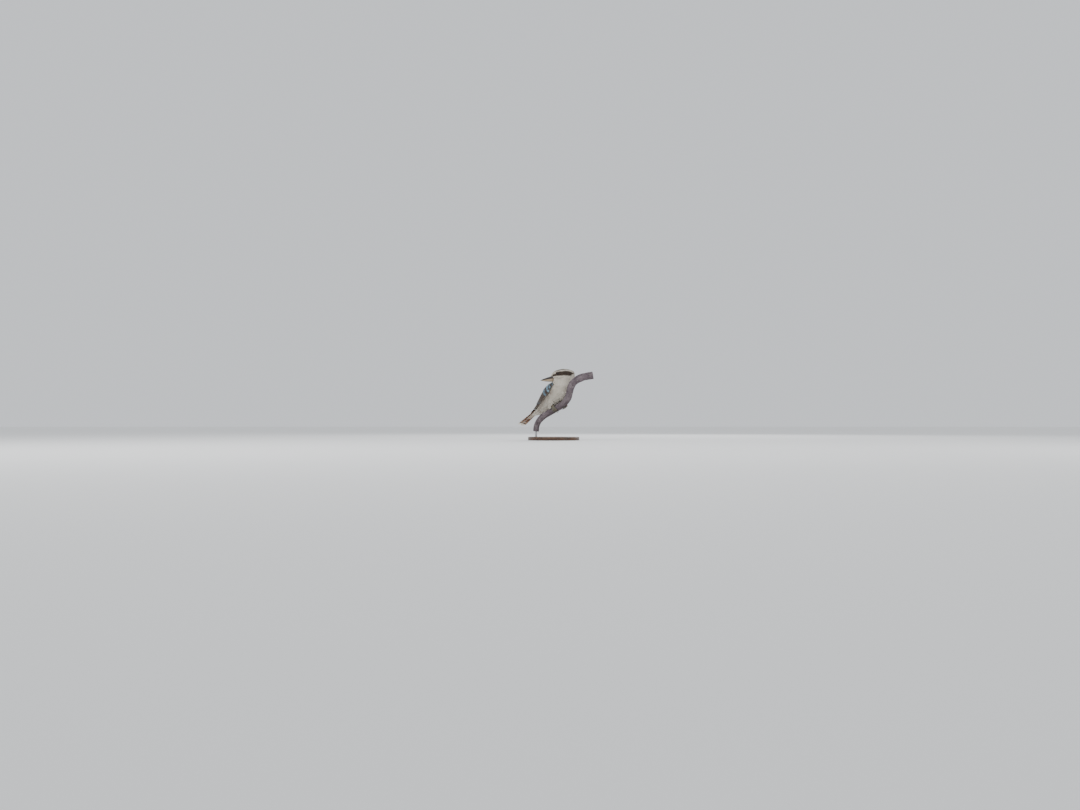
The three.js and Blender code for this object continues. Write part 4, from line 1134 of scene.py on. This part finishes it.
def wing_piece(name, side):
    """The long feathers of a folded wing in tiers. Each feather is a thin arched sheet with a raised
    shaft whose lower edge lies over the next one down; stations run straight from root to tip over the
    wing's envelope."""
    batches = []
    stations = 1 - (1 - np.linspace(0, 1, WING_STATIONS)) ** 1.45
    c = np.array([-1, -0.72, -0.4, -0.12, 0, 0.12, 0.4, 0.72, 1])
    for count, width, bow, roots, tips, tones in WING_TIERS:
        t = np.linspace(0, 1, count)
        root = mix(np.array(roots[0]), np.array(roots[1]), t[:, None])
        tip = mix(np.array(tips[0]), np.array(tips[1]), t[:, None])
        tip[:, 0] -= bow * np.sin(math.pi * t**0.8) + RNG.uniform(-1.2, 1.2, count)
        tip[:, 1] += RNG.uniform(-0.012, 0.012, count)
        x, across, height = np.moveaxis(mix(root[:, None], tip[:, None], stations[:, None]), -1, 0)
        wide, up, _, _ = wing_line(x)
        girth = (wide + up) / 2 * DEGREE
        low, high = wing_edge(x)
        spread = mix(roots[1][1] - roots[0][1], tips[1][1] - tips[0][1], stations)
        spacing = girth * (high - low) * spread / (count - 1)
        lift = np.minimum(MOST_LIFT, (VANE_THICKNESS + VANE_GAP) * width / spacing)[..., None]
        half = (width / 2 * vane_width(stations) * RNG.uniform(0.94, 1.06, (count, 1)))[..., None]
        seed = np.stack(np.broadcast_arrays(x[..., None] * 3, 50.0 * t[:, None, None], c * 2.0), axis=-1)
        ragged = 1 + 0.05 * grain(seed, 7) * np.abs(c) * ease(0.2, 0.6, stations)[:, None]
        turned = (mix(low, high, across) + 0 * x)[..., None] + c * half * ragged / girth[..., None]
        under = height[..., None] + lift * (1 - c) / 2
        shaft = 0.2 * np.exp(-((c / 0.08) ** 2)) * (1 - 0.6 * stations[:, None])
        over = under + VANE_THICKNESS * (1 - 0.6 * np.abs(c) ** 3) + 0.3 * (1 - c * c) + shaft
        xs = np.broadcast_to(x[..., None], turned.shape)
        lattice = np.stack([on_wing(side, xs, turned, under), on_wing(side, xs, turned, over)], axis=1)
        body = np.maximum(oval_field(lattice, torso_line, TORSO_REAR, TORSO_FRONT, 8), -2.5)
        out = unit(lattice - np.array((0, 0, 4)) * (0, 1, 1) - lattice * (1, 0, 0))
        pushed = np.maximum(0.2 - body, 0) * ease(0.0, 0.25, stations)[:, None]
        lattice = lattice + out * pushed[..., None]
        behind = (lattice[..., 0] < TAIL_ROOT) & (np.abs(lattice[..., 1]) < TAIL_HALF_WIDTH)
        room = tail_height(lattice[..., 0], lattice[..., 1]) + TAIL_CLEARANCE - lattice[..., 2]
        lattice[..., 2] += np.where(behind, np.maximum(room, 0), 0)
        centimetres = np.linalg.norm(tip - root, axis=1)[:, None] / 10 * stations
        own = RNG.uniform(0.1, 0.6, count)
        blue, pale_edge, white_base = (np.full(count, tone) for tone in tones)
        blue = blue * RNG.uniform(0.75, 1.1, count)
        mark = np.column_stack([blue, pale_edge, white_base, own])
        batches.append((lattice, centimetres, mark))
    vane_piece(f"feathers_{name}", batches, WING, (name,))


def tail_piece():
    """The tail: six pairs of long feathers stacked with the middle pair on top, and shorter coverts over
    and under them. Each is a thin sheet from near the midline to its outer edge, over the tail's arched
    and twisted surface."""
    length = TAIL_ROOT - TAIL_TIP
    stations = 1 - (1 - np.linspace(0, 1, TAIL_STATIONS)) ** 1.3
    c = np.array([-1, -0.75, -0.45, -0.14, 0, 0.14, 0.45, 0.75, 1])
    plan = []
    for k in range(6):
        plan.append((10.5 + 1.3 * k, 16, 1 + 0.3 * k * k, -TAIL_STEP * k, (k / 5, 1, 0)))
    for k in range(5):
        plan.append((7.5 + 1.5 * k, 9, length * (0.58 + 0.07 * k), 1.5 - 0.32 * k, (0, 0, 0)))
    for k in range(4):
        level = -TAIL_STEP * 6 - 0.9 - 0.3 * k
        plan.append((8 + 2.6 * k, 11, length * (0.4 + 0.09 * k), level, (0, 0, 1)))
    batches = []
    for outer, width, shorter, level, tones in plan:
        side = np.array([1.0, -1.0])[:, None, None]
        s = stations[None, :, None]
        reach = shorter + RNG.uniform(-1.0, 1.0, 2)[:, None, None]
        edge = mix(0.5 * outer + 3, outer, s**0.8)
        inner = np.maximum(0.2, edge - mix(12, width, s))
        rounding = vane_width(mix(0.62, 1, np.maximum(0, (s - 0.88) / 0.12)))
        middle, half = (edge + inner) / 2, (edge - inner) / 2
        x = mix(TAIL_ROOT + 8, TAIL_TIP + reach, s) + 0 * c
        seed = np.stack(np.broadcast_arrays(x * 2, side * 40 + outer * 9, c * 2.0), axis=-1)
        half = half * rounding * (1 + 0.05 * grain(seed, 8) * np.abs(c))
        y = side * (middle + c * half)
        z = level + tail_height(x, y)
        x = x + 1.6 * c * c * ease(0.9, 1.0, s)
        shaft = 0.25 * np.exp(-((c / 0.09) ** 2)) * (1 - 0.5 * s)
        over = z + 0.5 * (1 - 0.5 * np.abs(c) ** 3) + 0.22 * (1 - c * c) + shaft
        lattice = np.stack([np.stack([x, y, z], axis=-1), np.stack([x, y, over], axis=-1)], axis=1)
        centimetres = (length - reach[:, :, 0]) / 10 * stations
        mark = np.column_stack([np.full(2, v) for v in tones] + [RNG.uniform(0.2, 0.8, 2)])
        batches.append((lattice, centimetres, mark))
    vane_piece("feathers_tail", batches, TAIL, ("tail",))


# Bill, eyes and mouth, in the head's frame
def hook(u):
    """How far the bill's tip bends down at a share of its length."""
    return 1.6 * np.maximum(0, (u - 0.8) / 0.2) ** 2


NOSTRIL_AT = (54.5, -2)


def bill_piece(name, upper):
    """Half of the bill: oval rings that taper along it, deep towards its ridge or keel and flat towards
    the mouth, drawn in a little beside the ridge; the upper one has a sunk slit for each nostril."""
    rows, columns = 64, 56
    sign = 1 if upper else -1
    u = np.linspace(0, 1, rows)[:, None]
    length = BILL_LENGTH * (1 if upper else LOWER_BILL_SHARE)
    angle = np.linspace(0, 2 * math.pi, columns, endpoint=False)[None, :]
    if upper:
        wide = BILL_HALF_WIDTH * (1 - u) ** 0.72 + 0.8
        deep = UPPER_BILL_DEPTH * (1 - u**1.25) ** 0.85 + 0.9 - 0.3 * hook(u)
    else:
        wide = (BILL_HALF_WIDTH - 0.8) * (1 - u) ** 0.72 + 0.7
        deep = LOWER_BILL_DEPTH * (1 - u**1.5) ** 0.9 + 0.6
    share = u if upper else LOWER_BILL_SHARE * u
    c, s = np.cos(angle), np.sin(angle) * sign
    outer = np.maximum(s * sign, 0)
    y = wide * c * (1 - 0.10 * outer**2)
    z = MOUTH_HEIGHT + sign * 0.12 - hook(share)
    z = z + sign * (deep * outer**1.05 - 0.1 * np.maximum(-s * sign, 0))
    z = z - sign * 0.35 * np.abs(c) ** 6 * (1 - u)
    x = HEAD_FRONT - 2.5 + (length + 2.5 + GAP) * u + 0 * c
    flare = 1 + 0.055 * (1 - ease(0.5, 4.5, x - HEAD_FRONT + 2.5))
    y, z = y * flare, MOUTH_HEIGHT + (z - MOUTH_HEIGHT) * flare
    hollow = np.zeros_like(x)
    if upper:
        for side in SIDES.values():
            ahead, above = x - NOSTRIL_AT[0], z - NOSTRIL_AT[1]
            away = ((ahead - 0.9 * above) / 2.6) ** 2 + ((above + 0.25 * ahead) / 0.75) ** 2
            hollow = np.maximum(hollow, np.exp(-away) * (side * y > 0))
        y = y * (1 - 0.1 * hollow)
    lines = 0.08 * grain(np.stack([x * 0.25, y * 2, z * 2], axis=-1), 1.5)
    z = z + lines * outer * (1 - u)
    points, quads, caps = closed_tube(np.stack([x, y, z], axis=-1))
    points = body_to_world(head_to_body(points))
    # the nostril's hollow goes into the mark, where the horn finish paints it near black as shade
    marks = {"mark": tube_marks(u, outer, hollow)}
    finish, slot = (UPPER_HORN, "bill_black") if upper else (LOWER_HORN, "bill_horn")
    piece(f"{name}_horn", points, [quads, caps], finish, (name,), marks=marks)


def ball_rings(rows, columns, gap):
    """Directions in rings round a first axis, from near it to near its other end, and their angle from
    it."""
    lean = np.linspace(gap, math.pi - gap, rows)[:, None]
    angle = np.linspace(0, 2 * math.pi, columns, endpoint=False)
    ways = (np.cos(lean) + 0 * angle, np.sin(lean) * np.cos(angle), np.sin(lean) * np.sin(angle))
    return np.stack(ways, axis=-1), lean + 0 * angle


def eye_piece(name, middle, axis):
    """An eyeball: rings about the way it looks, with the clear front standing a little out of the
    ball."""
    up, level = eye_axes(axis)
    ways, lean = ball_rings(40, 56, 0.012)
    reach = EYE_RADIUS + 0.32 * np.exp(-((lean / 0.55) ** 2))
    points, quads, caps = closed_tube(middle + reach[..., None] * (ways @ np.array([axis, level, up])))
    marks = {"mark": tube_marks(lean / math.pi, 0, 0)}
    points = body_to_world(points)
    piece(f"eyeball_{name}", points, [quads, caps], EYE, (f"eye_{name}",), marks=marks)


def lid_piece():
    """The rims of the lids: a beaded ring round each eye, wider than it is high and drawn to a point at
    the corner towards the bill."""
    rows, columns = 96, 14
    points, quads = [], []
    for index, (side, (middle, axis)) in enumerate(zip(SIDES.values(), eye_places())):
        up, level = eye_axes(axis)
        level = level * side
        turn = np.linspace(0, 2 * math.pi, rows, endpoint=False)[:, None]
        corner = np.maximum(np.cos(turn), 0) ** 8
        path = middle + axis * 5 + np.cos(turn) * level * (6.2 + 0.8 * corner) + np.sin(turn) * up * 5.8
        for _ in range(6):
            path = path - axis * (coat_field(path) + coat_depth(path))[:, None]
        path = path + axis * 0.25
        away = unit(np.cos(turn) * level + np.sin(turn) * up)
        angle = np.linspace(0, 2 * math.pi, columns, endpoint=False)
        thick = (0.8 + 0.25 * np.maximum(np.sin(turn), 0)) * (1 + 0.05 * np.sin(30 * turn))
        ring = path[:, None] + (thick * np.cos(angle))[..., None] * away[:, None] * 1.2
        ring = ring + (thick * np.sin(angle))[..., None] * axis
        i, j = np.meshgrid(np.arange(rows), np.arange(columns), indexing="ij")
        i, j = i.ravel(), j.ravel()
        a, b = (i + 1) % rows, (j + 1) % columns
        faces = np.stack([i * columns + j, i * columns + b, a * columns + b, a * columns + j], axis=1)
        ring, faces, _ = outward(ring.reshape(-1, 3), faces)
        quads.append(faces + index * rows * columns)
        points.append(ring)
    piece("lids", body_to_world(np.vstack(points)), [np.vstack(quads)], LID)


def gape_piece():
    """The bare corner of the mouth on each side: a low ridge laid over the face from the bill to below
    the eye."""
    skins = []
    for side in SIDES.values():
        x = np.linspace(50, 27, 40)
        z = MOUTH_HEIGHT - 0.3 - 0.14 * (49 - x)
        guess = head_to_body(np.stack([x, side * np.linspace(15, 27, 40), z], axis=1))
        path = drawn_to(coat_field, guess, 4)
        path = path - slope(coat_field, path) * 0.3
        skins.append(closed_tube(swept(path, lambda t, a: 0.15 + 0.55 * (1 - t) ** 0.5, 12)))
    points, quads, caps = merged(skins)
    piece("mouth_corners", body_to_world(points), [quads, caps], LID)


# Branch, feet and stand, in the shared frame
BRANCH, BRANCH_DIRECTIONS, BRANCH_LENGTH = curve(np.array(BRANCH_ROUTE, float) + BODY_AT, 900)


def branch_at(t):
    """A place along the branch and its direction there."""
    shares = np.linspace(0, 1, len(BRANCH))
    place = np.stack([np.interp(t, shares, BRANCH[:, k]) for k in range(3)], axis=-1)
    way = np.stack([np.interp(t, shares, BRANCH_DIRECTIONS[:, k]) for k in range(3)], axis=-1)
    return place, unit(way)


END_INSETS = np.array([0.12, 0.5, 0.8, 0.94])
END_RINGS = [0, 1, 2, 3, -4, -3, -2, -1]


def wrapped_grain(turn, radius, along, size):
    """Smooth noise on a roll: grain at places on a circle of a radius, drawn out along it."""
    places = np.broadcast_arrays(np.cos(turn) * radius, np.sin(turn) * radius, along)
    return grain(np.stack(places, axis=-1), size)


def branch_piece():
    """The branch: rings along its route whose radius carries ridges, two knots, furrows that run along
    it and a fine unevenness; the ends are cut square, slightly chamfered, with the end faces in rings of
    their own."""
    rows, columns = 520, 120
    inset = np.r_[END_INSETS, np.ones(rows), END_INSETS[::-1]]
    route, _, _ = curve(np.array(BRANCH_ROUTE, float) + BODY_AT, rows)
    furrow_shade = {}

    def radius(t, turn):
        ridges = np.sin(3 * turn + 9 * t) + 0.6 * np.sin(5 * turn - 31 * t) + 0.5 * np.sin(47 * t)
        knots = eyes = 0
        for at, round_at, size in KNOTS:
            beside = 1 - np.cos(turn - round_at)
            knots = knots + size * np.exp(-(((t - at) / 0.03) ** 2) - 3 * beside)
            eyes = eyes + size * 0.55 * np.exp(-(((t - at) / 0.011) ** 2) - 14 * beside)
        base = mix(BRANCH_LOWER, BRANCH_UPPER, t)
        crack = 1 - ease(0.0, 0.2, np.abs(wrapped_grain(turn, 5, t * 22, 1.0)))
        fine = wrapped_grain(turn, 16, t * 110, 1.6)
        # the furrows' and knot hollows' depth, which the bark finish paints as shade
        furrow_shade["depth"] = np.clip(0.8 * crack + 0.35 * ease(0.1, 0.7, -fine) + 2.5 * eyes, 0, 1)
        made = base * (1 + BARK_DEPTH * ridges + knots - eyes) - 0.45 * crack + 0.22 * fine
        ends = np.minimum(t, 1 - t) * BRANCH_LENGTH
        return made - 0.7 * (1 - ease(0, 1.4, ends))

    rings = swept(route, radius, columns)
    order = np.r_[[0] * 4, np.arange(rows), [rows - 1] * 4]
    middle = route[order][:, None]
    rings = middle + (rings[order] - middle) * inset[:, None, None]
    saw = 0.12 * grain(rings[END_RINGS], 1.5)[..., None]
    rings[END_RINGS] += saw * np.repeat(BRANCH_DIRECTIONS[[0, -1]], 4, axis=0)[:, None]
    points, quads, caps = closed_tube(rings)
    end = np.r_[[1] * 4, np.zeros(rows), [1] * 4][:, None]
    depth = np.where(end > 0, 0, furrow_shade["depth"][order])
    marks = {"mark": tube_marks(end, inset[:, None], depth, ((1, 0, 0, 1), (1, 0, 0, 1)))}
    made = piece("branch", points, [quads, caps], BARK, ("perch",), marks=marks)
    made.data.set_sharp_from_angle(angle=60 * DEGREE)


def foot_pieces(name, side):
    """A foot that grips the branch: the bare shank, the sole and four toes, each a tube that bends round
    the branch with plates on its upper side and pads under it; and the claws, tapering hooks, in a piece
    of their own."""
    along, _, ankle = FEET[name]
    ankle = body_to_world(np.array(ankle, float))
    foothold, _ = branch_at(along)
    up = ankle - foothold

    def place(turn, drift, clearance):
        t = along + np.asarray(drift) / BRANCH_LENGTH
        centre, way = branch_at(t)
        over = unit(up - way * (way @ up)[..., None])
        across = np.cross(way, over)
        reach = (mix(BRANCH_LOWER, BRANCH_UPPER, t) + clearance)[..., None]
        return centre + reach * (over * np.cos(turn)[..., None] + across * np.sin(turn)[..., None])

    def claw(t, a):
        return mix(1.75, 0.12, t**0.9) * (1 + 0.15 * np.cos(2 * a))

    def leg(t, a):
        plates = 0.06 * np.abs(np.sin(math.pi * 9 * t)) ** 0.5
        return mix(3.7, 3.2, t) * (1 + 0.1 * np.exp(-((t / 0.15) ** 2)) + plates * np.clip(np.cos(a), 0, 1))

    skins, claws = [], []
    for number, (toe_side, turn, drift, root) in enumerate(TOES):
        wrap = -side * toe_side
        s = np.linspace(0, 1, 7)
        arch = TOE_RADIUS + 0.9 + 0.8 * np.sin(math.pi * s)
        path, _, _ = curve(place(wrap * mix(0.02, turn, s), root + drift * s, arch), 84)

        def toe(t, a, number=number):
            top = np.clip(np.cos(a), 0, 1)
            under = np.clip(-np.cos(a), 0, 1)
            plates = np.abs(np.sin(math.pi * (11 + number) * t)) ** 0.45
            joints = np.cos(6 * math.pi * t)
            relief = 1 + 0.06 * joints + top * (0.09 * plates - 0.06) + 0.1 * under * joints
            return TOE_RADIUS * (1 - 0.22 * t) * relief * (1 - 0.5 * ease(0.955, 1.0, t))

        skins.append(closed_tube(swept(path, toe, 22, start=up)))
        k = np.array([-0.05, 0.3, 0.68, 1.0])
        arch = TOE_RADIUS + 1.1 + 2.2 * np.sin(math.pi * 0.8 * np.clip(k, 0, 1))
        hooked, _, _ = curve(place(wrap * (turn + 0.62 * k), root + drift * (1 + 0.25 * k), arch), 30)
        claws.append(closed_tube(swept(hooked, claw, 16, start=up)))
    pad = place(np.array(0.0), 0.0, 3.4)
    shank, _, _ = curve(np.array([pad, mix(pad, ankle, 0.5), ankle]), 60)
    skins.append(closed_tube(swept(shank, leg, 24, start=(0.3, -1, 0.1))))
    ways, _ = ball_rings(16, 24, 0.05)
    skins.append(closed_tube(pad + ways * 4.5 * (1 + 0.03 * grain(ways * 9, 1.5))[..., None]))
    for title, parts, finish, replaced in (
        (f"toes_{name}", skins, FOOT, (f"foot_{name}",)), (f"claws_{name}", claws, CLAW_HORN, ()),
    ):
        points, quads, caps = merged(parts)
        share = np.concatenate([np.linspace(0, 1, len(p)) for p, _, _ in parts])
        mark = np.column_stack(np.broadcast_arrays(share, 0.5, 0, 1))
        piece(title, points, [quads, caps], finish, replaced, marks={"mark": mark})


def stand_pieces():
    """The stand: a turned disc with rounded rims, as rings from the middle of its underside out and up
    to the middle of its top, and a drawn rod with softened ends between it and the branch."""
    bend = np.linspace(0, 1, 9) * math.pi / 2
    profile = [(r, 0.0) for r in (30, 70, 100)]
    profile += [(BASE_RADIUS - 1 + math.sin(a), 1 - math.cos(a)) for a in bend]
    for a in bend:
        inward, below = BASE_BEVEL * (1 - math.cos(a)), BASE_BEVEL * (1 - math.sin(a))
        profile.append((BASE_RADIUS - inward, BASE_HEIGHT - below))
    profile += [(r, BASE_HEIGHT) for r in (102, 98, 80, 50, 20)]
    points, quads, caps = closed_tube(lathe(profile, 180))
    rim = hump(np.arange(len(profile)), 16, 7)[:, None] + np.zeros(180)
    marks = {"mark": tube_marks(rim, rim, rim, ((0, 0, 0, 1), (0, 0, 0, 1)))}
    disc = piece("base_disc", points, [quads, caps], BASE, ("stand_base",), marks=marks)
    low, high = BASE_HEIGHT - 0.2, BASE_HEIGHT + GAP + ROD_LENGTH + 0.5
    profile = [(2.5, low), (4.1, low), (ROD_RADIUS, low + 0.4), (ROD_RADIUS, mix(low, high, 0.5))]
    profile += [(ROD_RADIUS, high - 0.4), (4.1, high), (2.5, high)]
    points, quads, caps = closed_tube(lathe(profile, 64, BRANCH[0]))
    rod = piece("rod", points, [quads, caps], STEEL, ("stand_rod",))
    for made in (disc, rod):
        made.data.set_sharp_from_angle(angle=40 * DEGREE)


# Studio
CAMERA_AT = np.array([10.0, -3935.0, 60.0])
FOCAL_PIXELS, IMAGE_WIDTH, IMAGE_HEIGHT = 935.3, 1080, 810
BODY_PIXEL = (556, 395.7)
SENSOR_WIDTH = 36
FLOOR_AT = -0.3
# Each light: its name, where it stands in metres, its width and its power.
LAMPS = [
    ("key", (-1.5, -2.2, 2.1), 1.6, 50), ("fill", (2.0, -1.9, 0.9), 1.8, 12),
    ("rim", (0.9, 2.2, 1.9), 1.4, 32),
]


def studio():
    """The floor, three soft lights and the camera. The camera turns so that the torso's middle falls on
    its pixel."""
    rows, columns = 24, 96
    rings = lathe([(r, FLOOR_AT) for r in np.geomspace(200, 60000, rows)], columns)
    points = np.vstack([rings.reshape(-1, 3), [0, 0, FLOOR_AT]])
    j = np.arange(columns)
    caps = np.stack([np.full(columns, len(points) - 1), j, (j + 1) % columns], axis=1)
    floor = bpy.data.meshes.new("floor")
    quads = grid_faces(rows, columns, wrap=True)[:, ::-1]
    floor.from_pydata((points * MM).tolist(), [], quads.tolist() + caps.tolist())
    floor.materials.append(FLOOR)
    ground = bpy.data.objects.new("floor", floor)
    bpy.context.scene.collection.objects.link(ground)
    world = bpy.data.worlds.new("studio")
    world.use_nodes = True
    sky = world.node_tree.nodes["Background"]
    sky.inputs["Color"].default_value = (0.86, 0.89, 0.93, 1)
    sky.inputs["Strength"].default_value = 0.95
    bpy.context.scene.world = world
    aim = BODY_AT * MM + np.array((0, 0, 0.02))
    for name, at, size, power in LAMPS:
        lamp = bpy.data.lights.new(name, "AREA")
        lamp.shape, lamp.size, lamp.energy = "DISK", size, power
        made = bpy.data.objects.new(name, lamp)
        bpy.context.scene.collection.objects.link(made)
        way = aim - np.array(at)
        flat = math.hypot(way[0], way[1])
        made.location = at
        made.rotation_euler = (math.atan2(flat, -way[2]), 0, math.atan2(-way[0], way[1]))
    camera = bpy.data.cameras.new("camera")
    camera.sensor_fit, camera.sensor_width = "HORIZONTAL", SENSOR_WIDTH
    camera.lens = SENSOR_WIDTH * FOCAL_PIXELS / IMAGE_WIDTH
    camera.clip_start, camera.clip_end = 0.05, 200
    view = bpy.data.objects.new("camera", camera)
    bpy.context.scene.collection.objects.link(view)
    away = BODY_AT - CAMERA_AT
    pitch = math.atan2(away[2], away[1]) - math.atan2(IMAGE_HEIGHT / 2 - BODY_PIXEL[1], FOCAL_PIXELS)
    yaw = math.atan2(BODY_PIXEL[0] - IMAGE_WIDTH / 2, FOCAL_PIXELS) - math.atan2(away[0], away[1])
    view.location = CAMERA_AT * MM
    view.rotation_euler = (math.pi / 2 + pitch, 0, yaw)
    bpy.context.scene.camera = view


studio()
skin_piece()
plumage()
for (name, side), eye in zip(SIDES.items(), eye_places()):
    wing_piece(f"wing_{name}", side)
    eye_piece(name, *eye)
    foot_pieces(name, side)
tail_piece()
bill_piece("bill_upper", True)
bill_piece("bill_lower", False)
lid_piece()
gape_piece()
branch_piece()
stand_pieces()
